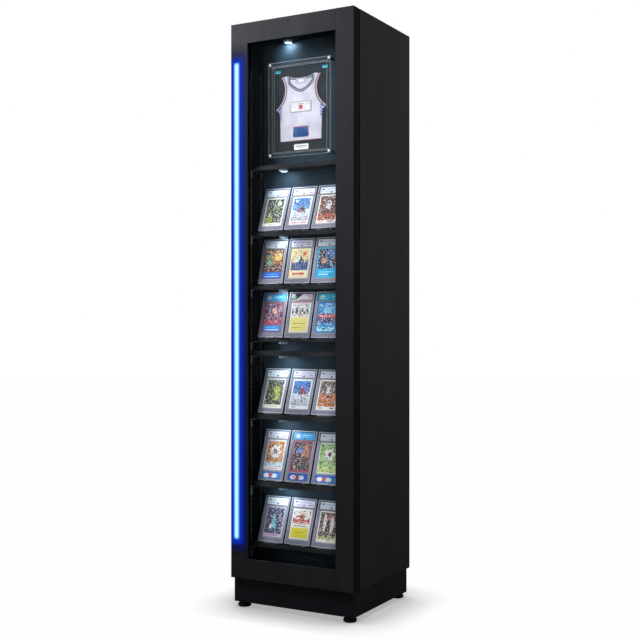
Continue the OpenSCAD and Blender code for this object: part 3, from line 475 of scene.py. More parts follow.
def build_boards():
    """The boards, door frame, shelf strips, hinges and clips: CAD nodes with eased edges."""
    for node in ("side_left", "side_right"):
        # The sides' rounded edges carry the lighter arris finish, a painted highlight
        eased(node, 0.8, FINISH["laminate"], FINISH["arris"])
    for node in ("top_panel", "bottom_panel"):
        eased(node, 0.8, FINISH["level_laminate"])
    eased("plinth", 1.0, FINISH["plinth"])
    eased("rear_panel", 0.6, FINISH["rear_board"])
    for node in ("liner_left", "liner_right"):
        eased(node, 0.5, FINISH["lining"])
    eased("display_back", 0.4, FINISH["display_back"])
    for node in ("door_rail_top", "door_rail_bottom"):
        eased(node, 0.6, FINISH["laminate"])
    # The stile's outer edge faces in the darker door edge finish, a painted shade
    eased("door_stile_right", 0.6, FINISH["laminate"], FINISH["door_edge"], lambda face: face.normal.x > 0.5)
    eased("door_stile_left", 0.6, lit_stile())
    eased("shelf_8", 0.8, FINISH["shelf"])
    # Painted light and shade on one steel strip: its front faces in bright zinc, its other faces in dark
    # steel
    eased("shelf_standards", 0.25, FINISH["dark_steel"], FINISH["zinc"], lambda face: face.normal.y < -0.5,
          segments=1)
    for node, width, key in (
            ("shelf_brackets", 0.2, "zinc"), ("door_hinge_leaves", 0.3, "zinc"),
            ("case_hinge_leaves", 0.3, "zinc"), ("light_channel", 0.25, "channel"),
            ("glass_gasket", 0.2, "foam"), ("glass_clips", 0.2, "zinc")):
        eased(node, width, FINISH[key], segments=1)
    eased("frame_backing", 0.4, FINISH["mat_board"])


# The bar's light painted on the stile as emission: how strong it is and how many millimetres it reaches
NEAR_GLOW, NEAR_REACH = 0.8, 20.0
FAR_GLOW, FAR_REACH = 0.24, 42.0
DARK_REACH = 55.0
STILE_BLUE = (0.0, 0.026, 0.45)


def lit_stile():
    """The black laminate with the bar's blue light painted over its front as emission, and its colour painted
    darker near the bar.
    """
    low, high = box_mm("light_diffuser")
    finish = grained("satin_black_lit_by_bar", grain=UPRIGHT, **LAMINATE)
    laminate = finish.shader.inputs["Base Color"].links[0].from_socket
    x, y, z = finish.axes(finish.spot())
    aside = finish.math("MAXIMUM", finish.beyond(x, low.x, high.x), 0.0)
    past_end = finish.math("MAXIMUM", finish.beyond(z, low.z, high.z), 0.0)
    away = finish.length(aside, past_end)
    near = finish.between(away, 2.0, NEAR_REACH, 1.0, 0.0)
    near.node.interpolation_type = "SMOOTHSTEP"
    far = finish.between(away, 0.0, FAR_REACH, 1.0, 0.0)
    front = finish.between(y, low.y + 0.5, low.y + 2.0, 1.0, 0.0)
    # Painted light: the bar's blue glow on the stile's front, strong close to the bar and fainter further off
    glow = finish.math("MULTIPLY_ADD", near, NEAR_GLOW, finish.math("MULTIPLY", far, FAR_GLOW))
    # The laminate's colour painted darker near the bar, under the painted glow
    darker = finish.math("MULTIPLY", finish.between(away, 0.0, DARK_REACH, 1.0, 0.0), front)
    finish.set("Base Color", finish.mix(darker, laminate, (0.0, 0.0, 0.0)))
    finish.set("Emission Color", STILE_BLUE)
    finish.set("Emission Strength", finish.math("MULTIPLY", glow, front))
    return finish.material


# Spot lights: radius and height of the body, radius of the lens, and the place of the middle from the
# case's left side and from the door's front, in millimetres
SPOT_R, SPOT_H = 13, 6
LENS_R = 9.5
SPOT_X = 148
SHELF_SPOT_Y, CEILING_SPOT_Y = 48, 73


def build_shelves():
    """Shelves 1 to 7 and the ceiling board, each with the spot light under it."""
    for n in range(1, 8):
        board_with_spot(f"shelf_{n}", FINISH["shelf"])
    board_with_spot("ceiling_board", FINISH["lining"])


def spot_place(node):
    """Where the spot light under a board has its middle, seen from above."""
    depth = CEILING_SPOT_Y if node == "ceiling_board" else SHELF_SPOT_Y
    return case_left + SPOT_X * MM, door_front + depth * MM


def board_with_spot(node, material):
    """A board with eased edges and a round spot light under it."""
    low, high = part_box(node)
    under = low.z + SPOT_H * MM
    bm = bmesh.new()
    block(bm, (low.x, low.y, under), high)
    round_edges(bm, bm.edges[:], 0.8)
    x, y = spot_place(node)
    outline = [(0, 0, 1), (SPOT_R, 0, 1), (SPOT_R, -1, 1), (SPOT_R - 0.4, -SPOT_H + 0.8, 1),
               (SPOT_R - 1.4, -SPOT_H, 1), (LENS_R + 0.9, -SPOT_H, 1), (LENS_R + 0.3, -SPOT_H + 0.4, 1),
               (LENS_R, -SPOT_H + 1.4, 1), (0, -SPOT_H + 1.6, 2)]
    turned(bm, outline, upright_at((x, y, under)))
    piece = finished(bm, node + "_with_spot", material, FINISH["spot_rim"], lens_finish(node), smooth=20)
    stands_for(piece, node)


def lens_finish(node):
    """The lit lens of a spot light: white in the middle and bluish at its rim."""
    name = "lit_ceiling_lens" if node == "ceiling_board" else "lit_spot_lens"
    known = bpy.data.materials.get(name)
    if known:
        return known
    finish = Finish(name, roughness=0.3)
    x, y = spot_place(node)
    across, back, _ = finish.axes(finish.vector("SUBTRACT", finish.spot(), (x / MM, y / MM, 0)))
    rim = finish.between(finish.length(across, back), 4.0, LENS_R)
    finish.set("Base Color", ink("e8f6fa"))
    finish.set("Emission Color", finish.mix(rim, ink("f4fdff"), ink("9fdcf2")))
    finish.set("Emission Strength", 1.3)
    return finish.material


# Door: glass, light bar and its lamps


def build_glass():
    """The door's pane, green at its cut edges."""
    eased("door_glass", 0.8, FINISH["glass"], FINISH["glass_edge"], lambda face: abs(face.normal.y) < 0.5)


def bar_light_finish():
    """The lit diffuser: a cyan-white core between deep blue edges."""
    low, high = box_mm("light_diffuser")
    finish = Finish("lit_bar_diffuser", roughness=0.35)
    x, _, z = finish.axes(finish.spot())
    half = (high.x - low.x) / 2
    aside = finish.apart(x, (low.x + high.x) / 2)
    dome = finish.math("MAXIMUM", finish.beyond(z, low.z + half, high.z - half), 0.0)
    out = finish.length(aside, dome)
    core = finish.between(out, half * 0.22, half * 0.92)
    blue = finish.between(out, half * 0.80, half * 1.16)
    colour = finish.mix(core, ink("c8feff"), ink("1270ea"))
    colour = finish.mix(blue, colour, ink("0246c0"))
    finish.set("Base Color", ink("16305c"))
    finish.set("Emission Color", colour)
    finish.set("Emission Strength", 1.0)
    return finish.material


def build_light_bar():
    """The diffuser, its edges softly rounded, in front of the lamp strip."""
    low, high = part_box("light_diffuser")
    bm = bmesh.new()
    block(bm, low, high)
    round_edges(bm, bm.edges[:], 0.7, segments=3)
    stands_for(finished(bm, "light_diffuser_lit", bar_light_finish()), "light_diffuser")
    build_lamp_strip()


# The lamp strip behind the diffuser: the lamps' spacing, half width and height, and the strip's thickness
LAMP_PITCH = 16.7 * MM
LAMP_HALF = 1.5 * MM
LAMP_H = 1.2 * MM
STRIP_T = 0.6 * MM


def build_lamp_strip():
    """A thin strip with a row of small square lamps."""
    low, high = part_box("led_strip")
    bead = bmesh.new()
    block(bead, (-LAMP_HALF, -LAMP_H, -LAMP_HALF), (LAMP_HALF, 0, LAMP_HALF))
    round_edges(bead, bead.edges[:], 0.25, segments=1)
    part = finished(bead, "lamp", FINISH["strip"])
    middle = (low.x + high.x) / 2
    count = int((high.z - low.z) / LAMP_PITCH)
    places = [(middle, high.y - STRIP_T, low.z + (k + 0.5) * LAMP_PITCH) for k in range(count)]
    lamps = repeated("strip_lamps", part, places, FINISH["strip"])
    bm = bmesh.new()
    bm.from_mesh(lamps.data)
    block(bm, (low.x, high.y - STRIP_T, low.z), high)
    bpy.data.objects.remove(lamps)
    stands_for(finished(bm, "led_strip_with_lamps", FINISH["strip"]), "led_strip")


# Fasteners, feet, latch and electrics


# Rear cover screws: the head's height, how far the upright rows lie from the sides and ends, how far the
# level rows lie from the ends, and the screws in an upright row
HEAD_H = 1.6
SCREW_SIDE = 13.5 * MM
SCREW_END = 60 * MM
SCREW_EDGE = 9 * MM
SCREW_ROWS = 6


def build_screws():
    """The rear cover's screws, a round recess in each head, and the collared inserts of the feet."""
    bm = bmesh.new()
    turned(bm, [(0, -15), (1.0, -15), (1.6, -13), (1.6, 0), (3.2, 0), (3.2, 0.6), (2.6, 1.3), (1.4, HEAD_H),
                (1.1, 0.7), (0, 0.7)], facing_back((0, 0, 0)), steps=16)
    part = finished(bm, "screw", FINISH["zinc"])
    under_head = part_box("case_fasteners")[1].y - HEAD_H * MM
    step = (case_top - case_bottom - 2 * SCREW_END) / (SCREW_ROWS - 1)
    wide = case_right - case_left
    places = [(x, under_head, case_bottom + SCREW_END + k * step)
              for x in (case_left + SCREW_SIDE, case_right - SCREW_SIDE) for k in range(SCREW_ROWS)]
    places += [(case_left + wide * k / 3, under_head, z)
               for z in (case_bottom + SCREW_EDGE, case_top - SCREW_EDGE) for k in (1, 2)]
    screws = repeated("rear_cover_screws", part, places, FINISH["zinc"])
    stands_for(screws, "case_fasteners")
    bm = bmesh.new()
    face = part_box("plinth")[0].z
    insert = [(4.15, -1.5), (8.6, -1.5), (9, -1.1), (9, 0), (5.2, 0), (5.2, 14), (4.15, 14), (4.15, -1.5)]
    for node in FEET:
        low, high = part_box(node)
        turned(bm, insert, upright_at(((low.x + high.x) / 2, (low.y + high.y) / 2, face)))
    stands_for(finished(bm, "foot_inserts", FINISH["zinc"]), "case_fasteners")


FEET = ("foot_front_left", "foot_front_right", "foot_rear_left", "foot_rear_right")
# A foot's pad height, thread pitch, height of the thread's and the stem's end, and grips round the pad
PAD_H = 13.4
THREAD_PITCH = 1.25
THREAD_END, STEM_END = 53, 55
GRIPS = 24


def build_feet():
    """The levelling feet: a rubber pad with grips, and a stem whose thread is a row of rings."""
    for node in FEET:
        low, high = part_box(node)
        at = upright_at(((low.x + high.x) / 2, (low.y + high.y) / 2, low.z))
        outline = [(0, 0), (17.0, 0), (18.4, 0.7), (19, 2.0), (19, 5.4), (18.5, 7.8), (17.0, 9.8),
                   (14.2, 11.2), (10, 12.0), (7, 12.4), (7, 12.9), (6.4, PAD_H), (4, PAD_H)]
        height = PAD_H
        while height < THREAD_END:
            outline += [(4.0, height + 0.2, 1), (3.4, height + 0.75, 1), (4.0, height + THREAD_PITCH, 1)]
            height += THREAD_PITCH
        bm = bmesh.new()
        turned(bm, outline + [(3.2, STEM_END, 1), (0, STEM_END, 1)], at)
        for k in range(GRIPS):
            verts = block(bm, (16.6 * MM, -0.7 * MM, 2.2 * MM), (19 * MM, 0.7 * MM, 5.2 * MM))
            turn = at @ Matrix.Rotation(2 * math.pi * k / GRIPS, 4, "Z")
            bmesh.ops.transform(bm, matrix=turn, verts=verts)
        stands_for(finished(bm, node + "_turned", FINISH["rubber"], FINISH["zinc"]), node)


def build_latch():
    """The push latch in the case, its plunger, and the strike on the door."""
    low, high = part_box("latch_body")
    x, z = (low.x + high.x) / 2, (low.z + high.z) / 2
    length = (high.y - low.y) / MM
    turned_piece("latch_body", [
        (3.05, length - 3), (3.05, 0.2), (3.3, 0), (7.0, 0), (7.5, 0.4), (7.5, 1), (5, 1), (5, length - 1),
        (4.2, length), (0, length)], facing_back((x, low.y, z)), FINISH["plastic"])
    low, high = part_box("latch_plunger")
    length = (high.y - low.y) / MM
    turned_piece("latch_plunger", [
        (0, 0), (2.2, 0), (2.8, 0.3), (3, 0.9), (3, length - 0.4), (2.6, length), (0, length)],
                 facing_back((x, low.y, z)), FINISH["bright"])
    turned_piece("latch_strike", [(0, 0), (7, 0), (7, 0.6), (6.6, 1), (1.6, 1), (0.9, 0.6), (0, 0.6)],
                 facing_back((x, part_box("latch_strike")[0].y, z)), FINISH["zinc"])


def build_electrics():
    """The light driver, the power inlet in the rear cover and the inner leads."""
    eased("led_driver", 1.2, FINISH["driver"])
    low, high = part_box("power_inlet")
    length = (high.y - low.y) / MM
    turned_piece("power_inlet", [
        (0, 0), (5.0, 0), (5.5, 0.5), (5.5, length - 10.5), (8, length - 10.5), (8, length - 7.5),
        (5.5, length - 7.5), (5.5, length - 1.5), (7.7, length - 1.5), (8, length - 1.2),
        (8, length - 0.4), (7.6, length), (3.2, length), (2.75, length - 0.4), (2.75, length - 10.5),
        (1, length - 10.5, 1), (1, length - 2.2, 1), (0.6, length - 1.8, 1), (0, length - 1.8, 1)],
                 facing_back(((low.x + high.x) / 2, low.y, (low.z + high.z) / 2)),
                 FINISH["plastic"], FINISH["zinc"])
    wiring = frame["nodes"]["wiring"].data
    wiring.materials.clear()
    wiring.materials.append(FINISH["sheath"])


# Printed cards and labels


# How soft the edge of a printed shape is in millimetres, and how crisp rays and blots are
PRINT_EDGE = 0.35
RAY_EDGE = 8.0
BLOT_EDGE = 20.0


class Print(Finish):
    """A printed face: shapes laid over each other, in millimetres from its lower left corner."""

    def __init__(self, name, width, height, ground):
        super().__init__(name, roughness=0.32, specular=0.3)
        uv = self.add("ShaderNodeUVMap", uv_map="print").outputs["UV"]
        self.at = self.vector("MULTIPLY", uv, (width, height, 0))
        self.x, self.y, _ = self.axes(self.at)
        self.colour = ground
        self.window = None

    def lay(self, away, colour, soft=PRINT_EDGE):
        """Prints the colour where the distance away is below nothing."""
        share = self.math("MULTIPLY_ADD", away, -1 / soft, 0.5, clamp=True)
        if self.window:
            share = self.math("MULTIPLY", share, self.window)
        self.colour = self.mix(share, self.colour, ink(colour))

    def inside(self, x0, y0, x1, y1):
        """Limits what is printed next to a picture window."""
        away = self.box_away(x0, y0, x1, y1)
        self.window = self.math("MULTIPLY_ADD", away, -1 / PRINT_EDGE, 0.5, clamp=True)

    def everywhere(self):
        self.window = None

    def box_away(self, x0, y0, x1, y1):
        middle = ((x0 + x1) / 2, (y0 + y1) / 2, 0)
        half = ((x1 - x0) / 2, (y1 - y0) / 2, 0)
        aside = self.vector("ABSOLUTE", self.vector("SUBTRACT", self.at, middle))
        across, up, _ = self.axes(self.vector("SUBTRACT", aside, half))
        return self.math("MAXIMUM", across, up)

    def panel(self, x0, y0, x1, y1, colour):
        self.lay(self.box_away(x0, y0, x1, y1), colour)

    def disc(self, x, y, wide, tall, colour):
        out = self.vector("DIVIDE", self.vector("SUBTRACT", self.at, (x, y, 0)), (wide, tall, 1))
        out = self.vector("LENGTH", out, output=1)
        self.lay(self.math("MULTIPLY_ADD", out, min(wide, tall), -min(wide, tall)), colour)

    def ring(self, x, y, radius, line, colour):
        out = self.vector("LENGTH", self.vector("SUBTRACT", self.at, (x, y, 0)), output=1)
        self.lay(self.math("SUBTRACT", self.apart(out, radius), line / 2), colour)

    def peak(self, x, top, half, foot, colour):
        """A mountain: a triangle with its tip at x, top."""
        rise = (top - foot) / half
        aside = self.apart(self.x, x)
        away = self.math("MULTIPLY_ADD", aside, rise, self.math("SUBTRACT", self.y, top))
        away = self.math("DIVIDE", away, math.hypot(rise, 1))
        self.lay(self.math("MAXIMUM", away, self.math("SUBTRACT", foot, self.y)), colour)

    def swell(self, level, height, length, shift, colour):
        """Everything below a wavy line."""
        turn = self.math("MULTIPLY_ADD", self.x, 2 * math.pi / length, shift)
        line = self.math("MULTIPLY_ADD", self.math("SINE", turn), height, level)
        self.lay(self.math("SUBTRACT", self.y, line), colour)

    def turns(self, x, y, count):
        """The turn round a point, counted in parts of a full turn."""
        angle = self.math("ARCTAN2", self.math("SUBTRACT", self.y, y), self.math("SUBTRACT", self.x, x))
        return self.math("MULTIPLY", angle, count / (2 * math.pi))

    def rays(self, x, y, count, colour):
        """A fan of rays from a point, as wide as the gaps between them."""
        place = self.math("PINGPONG", self.turns(x, y, count), 0.5)
        self.lay(self.math("MULTIPLY_ADD", place, RAY_EDGE, -RAY_EDGE / 4), colour, 1.0)

    def bands(self, angle, pitch, share, colour):
        """Straight bands across the face, their run turned by an angle in degrees."""
        turn = math.radians(angle)
        along = self.vector("DOT_PRODUCT", self.at, (-math.sin(turn), math.cos(turn), 0), output=1)
        place = self.math("PINGPONG", self.math("MULTIPLY", along, 1 / pitch), 0.5)
        self.lay(self.math("MULTIPLY_ADD", place, pitch, -pitch * share / 2), colour)

    def splash(self, size, share, colour, shift=0.0):
        """Ragged blots of about size millimetres over a share of the face."""
        source = self.vector("ADD", self.at, (shift, shift * 2.0, shift))
        blot = self.noise(size, detail=3.0, rough=0.6, vector=source)
        self.lay(self.math("MULTIPLY_ADD", blot, -BLOT_EDGE, BLOT_EDGE * (1 - share)), colour, 1.0)

    def star(self, x, y, radius, points, depth, colour):
        """A star or a flower with rounded points."""
        out = self.length(self.math("SUBTRACT", self.x, x), self.math("SUBTRACT", self.y, y))
        dip = self.math("PINGPONG", self.turns(x, y, points), 0.5)
        reach = self.math("MULTIPLY_ADD", dip, -2 * depth * radius, radius)
        self.lay(self.math("SUBTRACT", out, reach), colour)

    def finish_print(self):
        self.set("Base Color", self.colour)
        grain = self.noise(0.5, detail=2.0, vector=self.at)
        self.set("Roughness", self.between(grain, 0.3, 0.7, 0.28, 0.4))
        self.bump(grain, 0.01)
        return self.material


CARD_W, CARD_H = 63.5, 88.9
LABEL_W, LABEL_H = 70.0, 20.0

# Generic card pictures: the border, the picture's corners, its ground and the shapes laid over it.
# Rows run from the top of the case to the bottom, and each row from left to right.
CARDS = [
    [
        ("f2f1ea", (4, 9, 59.5, 85), "23281d",
         [("splash", 13, 0.42, "6d7a2c"), ("splash", 9, 0.36, "c9cf86", 40),
          ("splash", 7, 0.3, "eef0dc", 90), ("peak", 32, 66, 20, 9, "3f4f1e"),
          ("peak", 18, 52, 14, 9, "8fa03a"), ("disc", 45, 70, 7, 7, "e9e9c9"),
          ("splash", 8, 0.26, "151812", 12)],
         [("panel", 20, 3.5, 44, 5.5, "b9b8b2")]),
        ("f4f4f8", (4, 12, 59.5, 84), "1f7ad0",
         [("swell", 62, 3, 34, 0.4, "58a7e8"), ("swell", 48, 4, 26, 1.4, "dfe4f0"),
          ("peak", 36, 66, 13, 40, "273247"), ("peak", 27, 58, 9, 40, "a8485a"),
          ("disc", 14, 74, 5, 4, "eaf2fa"), ("splash", 12, 0.32, "c6cbe0", 7),
          ("swell", 24, 2, 40, 0.0, "c9cbd8")],
         [("panel", 8, 4.5, 56, 8.5, "e88fae"), ("panel", 24, 5.4, 40, 7.6, "f6d6e2")]),
        ("f3efe9", (4, 9, 59.5, 85), "4a2b20",
         [("splash", 11, 0.5, "8a4a2a"), ("swell", 30, 4, 30, 0.6, "b3532f"),
          ("splash", 7, 0.3, "d8a37a", 33), ("disc", 33, 58, 9, 13, "e8e6ee"),
          ("disc", 33, 64, 4, 4, "5d6fb0"), ("splash", 6, 0.3, "2b1a1c", 71)],
         [("panel", 36, 3.4, 56, 6.4, "5a62a8"), ("panel", 8, 3.4, 24, 6, "c99a5c")]),
    ],
    [
        ("5b3a22", (2, 22, 61.5, 87), "33402a",
         [("rays", 46, 66, 12, "d98a2b"), ("disc", 46, 66, 11, 11, "f0cf4e"),
          ("peak", 18, 78, 16, 40, "4ca35a"), ("swell", 44, 6, 40, 0.8, "5a2c18"),
          ("splash", 8, 0.36, "c2562a", 15), ("splash", 6, 0.3, "1a1210", 60),
          ("splash", 5, 0.22, "e9dfc8", 95)],
         [("panel", 2, 2, 61.5, 20, "1f6fe0"), ("panel", 8, 6, 55, 8, "bfe0ff"),
          ("panel", 14, 12, 50, 15, "4fa0ff")]),
        ("f0e3c0", (4, 24, 59.5, 84), "efd689",
         [("disc", 46, 74, 6, 6, "d95f3a"), ("swell", 52, 5, 34, 2.6, "1c4f9e"),
          ("peak", 24, 76, 12, 46, "e9e7ea"), ("peak", 35, 70, 9, 46, "50586a"),
          ("swell", 40, 3, 26, 0.2, "0f3f8c"), ("splash", 7, 0.3, "e8eaf0", 22)],
         [("panel", 4, 8, 59.5, 20, "f4ecd4"), ("panel", 12, 10.5, 50, 16.5, "cf3a34"),
          ("panel", 18, 12.5, 34, 14.5, "f4d9a0")]),
        ("39b6e6", (4, 26, 59.5, 86), "0d1626",
         [("disc", 40, 70, 15, 12, "2a6fb8"), ("peak", 34, 72, 15, 30, "1f3a60"),
          ("splash", 10, 0.36, "58b8ea", 17), ("disc", 22, 50, 9, 8, "c08a6a"),
          ("splash", 6, 0.3, "eaf6fb", 41), ("swell", 36, 4, 30, 1.2, "0c3868")],
         [("panel", 5, 4, 58.5, 23, "20a8dc"), ("panel", 10, 8, 40, 11, "d5f3fc"),
          ("panel", 10, 15, 54, 18, "8adcf4")]),
    ],
    [
        ("a63a5c", (3, 24, 60.5, 87), "1d2f5f",
         [("rays", 30, 60, 9, "a23b62"), ("splash", 9, 0.36, "d8527c", 9),
          ("peak", 16, 84, 3, 60, "72e0dc"), ("disc", 34, 64, 8, 9, "f0b08c"),
          ("splash", 6, 0.32, "f3eef4", 28), ("swell", 34, 5, 22, 0.3, "c82f52")],
         [("panel", 3, 3, 60.5, 22, "2a86dc"), ("panel", 9, 7, 54, 10, "b7e3fb"),
          ("panel", 9, 14, 46, 17, "5cb8f0")]),
        ("eceae4", (4, 46, 59.5, 84), "e6e4e6",
         [("swell", 66, 6, 17, 0.4, "23222c"), ("swell", 58, 5, 13, 1.7, "e9e4dc"),
          ("bands", 0, 9, 0.12, "8b8794"), ("splash", 7, 0.24, "2d2a38", 52)],
         [("panel", 4, 4, 59.5, 44, "eadf86"), ("panel", 10, 26, 52, 27.5, "8a7d52"),
          ("panel", 10, 14, 40, 15.5, "a8985c"), ("panel", 6, 84.4, 58, 86.6, "e3a0b8")]),
        ("1785c8", (3, 4, 60.5, 86), "1c9fe0",
         [("peak", 32, 80, 18, 58, "63c6f2"), ("ring", 32, 66, 8, 1.6, "d7f2fc"),
          ("splash", 9, 0.24, "1566b4", 14), ("panel", 3, 42, 60.5, 54, "c8304a"),
          ("panel", 12, 46, 50, 50, "e8b9c0"), ("panel", 3, 28, 60.5, 42, "14306e"),
          ("swell", 14, 3, 20, 0.6, "9fe2f8")],
         [("panel", 8, 18, 50, 20, "0b4f9c")]),
    ],
    [
        ("f1f2ea", (4, 10, 59.5, 85), "39402c",
         [("splash", 12, 0.44, "747a4a"), ("disc", 38, 44, 14, 22, "c3cc2e"),
          ("splash", 8, 0.3, "e7e9df", 61), ("peak", 24, 80, 12, 30, "57651f"),
          ("splash", 6, 0.28, "1c2014", 33)],
         [("panel", 14, 4.5, 50, 7, "c9b38c")]),
        ("f4f5fa", (4, 10, 59.5, 84), "1a74c4",
         [("splash", 12, 0.34, "4f9fe0", 21), ("swell", 50, 5, 33, 2.0, "e3e7f2"),
          ("peak", 38, 68, 11, 44, "c0395a"), ("peak", 30, 62, 8, 44, "2a3350"),
          ("swell", 30, 3, 40, 0.7, "c2c7da"), ("splash", 8, 0.22, "f6f7fb", 80)],
         [("panel", 8, 4, 22, 7, "8a8fb8")]),
        ("f3f1f1", (4, 10, 59.5, 85), "6a625c",
         [("splash", 10, 0.34, "3c3634", 5), ("swell", 46, 3, 48, 0.2, "c9703a"),
          ("bands", 62, 14, 0.12, "e09a62"), ("disc", 33, 58, 8, 11, "ece9ec"),
          ("disc", 33, 68, 4, 4, "caa88a"), ("splash", 6, 0.22, "a04a24", 47)],
         [("panel", 9, 4, 20, 7, "4b4b5c"), ("panel", 44, 4, 56, 7, "4b4b5c")]),
    ],
    [
        ("e9e4ea", (4, 9, 59.5, 85), "d8892e",
         [("star", 32, 54, 22, 7, 0.3, "f5efe8"), ("splash", 9, 0.34, "e06a8c", 12),
          ("disc", 32, 54, 7, 7, "9a4a2a"), ("splash", 6, 0.3, "7fc8b8", 66),
          ("swell", 24, 3, 24, 1.0, "c8e0e8")],
         [("panel", 14, 3.4, 50, 6, "d08aa4")]),
        ("c84a72", (3, 4, 60.5, 86), "3a2417",
         [("peak", 44, 88, 16, 44, "c66a28"), ("splash", 10, 0.38, "6a4228", 8),
          ("disc", 24, 62, 10, 10, "2c63b4"), ("splash", 6, 0.28, "e8dcc8", 27),
          ("swell", 22, 5, 28, 0.5, "20140f"), ("disc", 14, 14, 5, 4, "e0a84a")],
         []),
        ("e6eef0", (3, 4, 60.5, 86), "9cc46a",
         [("splash", 12, 0.36, "4f8f4a", 3), ("star", 34, 56, 20, 5, 0.4, "eef3ea"),
          ("splash", 7, 0.3, "3a8ab8", 58), ("disc", 34, 56, 6, 6, "7a3f34"),
          ("swell", 20, 4, 26, 0.9, "c6e27a")],
         []),
    ],
    [
        ("c9b4cc", (4, 10, 59.5, 85), "1b1c38",
         [("rays", 34, 46, 11, "2b3f78"), ("splash", 8, 0.34, "d87aa0", 24),
          ("peak", 30, 70, 10, 26, "7fd0ea"), ("splash", 6, 0.3, "e8c24a", 69),
          ("splash", 6, 0.3, "0f1020", 44), ("disc", 22, 30, 5, 7, "e9edf4")],
         [("panel", 12, 4.4, 50, 7, "8a7fa0")]),
        ("f2ebe4", (4, 44, 59.5, 84), "f0e6e0",
         [("swell", 60, 4, 30, 1.5, "c8303a"), ("star", 32, 66, 12, 6, 0.35, "d86a3a"),
          ("disc", 32, 66, 4, 4, "3a2c28"), ("splash", 7, 0.26, "4a8a44", 37),
          ("swell", 50, 2, 22, 0.4, "e8c0b0")],
         [("panel", 4, 5, 59.5, 34, "e6d838"), ("panel", 16, 20, 44, 21.6, "8a7a2a"),
          ("panel", 10, 38, 52, 40, "57504c")]),
        ("efece6", (4, 9, 59.5, 85), "54382a",
         [("splash", 10, 0.36, "e8e2d6", 19), ("disc", 20, 56, 5, 26, "f1efe9"),
          ("disc", 44, 52, 6, 24, "e8e6e4"), ("star", 34, 70, 9, 8, 0.3, "d8722e"),
          ("splash", 6, 0.3, "2a211e", 55), ("swell", 18, 3, 20, 0.8, "b9c46a")],
         [("panel", 34, 3.4, 46, 6, "e0a03a")]),
    ],
]

# Label styles: the ground and the shapes on it, all plain bars and blots
LABELS = {
    "white": ("e4ecf6", [
        ("splash", 16, 0.4, "cfe6f6"), ("splash", 12, 0.3, "dcd4f2", 30),
        ("panel", 5, 12, 13, 16, "4466c0"), ("panel", 53, 11, 65, 13, "57c0c8"),
        ("panel", 55, 14.5, 65, 16.5, "4f8fd0"), ("panel", 17, 13, 44, 14.4, "a3b2d4"),
        ("panel", 5, 6, 34, 7.2, "aebbd8"), ("disc", 37, 4, 3, 2.4, "1c2a6a")]),
    "pink": ("ddd9ec", [
        ("splash", 14, 0.4, "cbd8ef"), ("splash", 10, 0.3, "e6bfd2", 25),
        ("panel", 5, 12, 14, 16, "6a58b8"), ("panel", 18, 12.6, 60, 14, "9f9cc6"),
        ("panel", 5, 5, 28, 6.4, "c06a92"), ("disc", 35, 4, 3, 2.4, "3a2a6a"),
        ("panel", 52, 5, 64, 7.5, "b070a8")]),
    "blue": ("4aa6e4", [
        ("splash", 12, 0.34, "2f86cc"), ("disc", 15, 10, 7, 6, "d9e6f2"),
        ("ring", 15, 10, 4, 1.5, "d0584a"), ("panel", 30, 11, 58, 14, "a8dcf6"),
        ("panel", 30, 6, 48, 8, "7fc8ee"), ("disc", 36, 3.4, 2.4, 2, "12305c")]),
    "cyan": ("36bfe2", [
        ("splash", 12, 0.34, "229cd0"), ("disc", 14, 10, 8, 6, "cfeaf2"), ("panel", 8, 7, 20, 9, "3a7a9c"),
        ("panel", 36, 9, 62, 15, "17a0d2"), ("panel", 44, 11, 58, 13, "b8f0fa"),
        ("disc", 38, 3.4, 2.4, 2, "10385c")]),
    "swoop": ("d9c8d4", [
        ("peak", 26, 30, 30, 3, "3a2c3c"), ("peak", 40, 22, 26, 2, "f0ecf0"),
        ("disc", 10, 10, 6, 6, "7fb88c"), ("panel", 24, 2, 66, 4, "b04a68"),
        ("splash", 9, 0.24, "c76a88", 11)]),
    "foot_red": ("2f78cc", [
        ("disc", 18, 9, 11, 6, "eef2f6"), ("disc", 46, 9, 11, 6, "e6eef2"),
        ("star", 32, 10, 9, 4, 0.6, "c84a5a"), ("splash", 6, 0.2, "57b0a0", 5)]),
    "foot_brown": ("1e5cb8", [
        ("disc", 18, 9, 10, 6, "f2f0f2"), ("disc", 48, 9, 10, 6, "dfe8f4"),
        ("star", 33, 9, 8, 5, 0.4, "8a4a30"), ("disc", 20, 9, 4, 3, "d870a0")]),
    "foot_green": ("2a6cd0", [
        ("disc", 16, 9, 10, 6, "f0f4f0"), ("disc", 46, 9, 12, 6, "c8dcc0"),
        ("star", 31, 10, 8, 3, 0.5, "d04a58"), ("splash", 6, 0.2, "e8d070", 9)]),
}
ROW_LABELS = [("white", "pink", "white"), ("white", "pink", "white"), ("blue", "swoop", "cyan"),
              ("white", "pink", "white"), ("pink", "blue", "white"), ("white", "pink", "white")]
FOOT_LABELS = ("foot_red", "foot_brown", "foot_green")


def printed(name, width, height, ground, layers, later=(), window=None, window_ground=None):
    """A print: the layers inside its picture window, and what is laid over the whole face later."""
    sheet = Print(name, width, height, ink(ground))
    if window:
        sheet.panel(*window, window_ground)
        sheet.inside(*window)
    for kind, *values in layers:
        getattr(sheet, kind)(*values)
    sheet.everywhere()
    for kind, *values in later:
        getattr(sheet, kind)(*values)
    return sheet.finish_print()


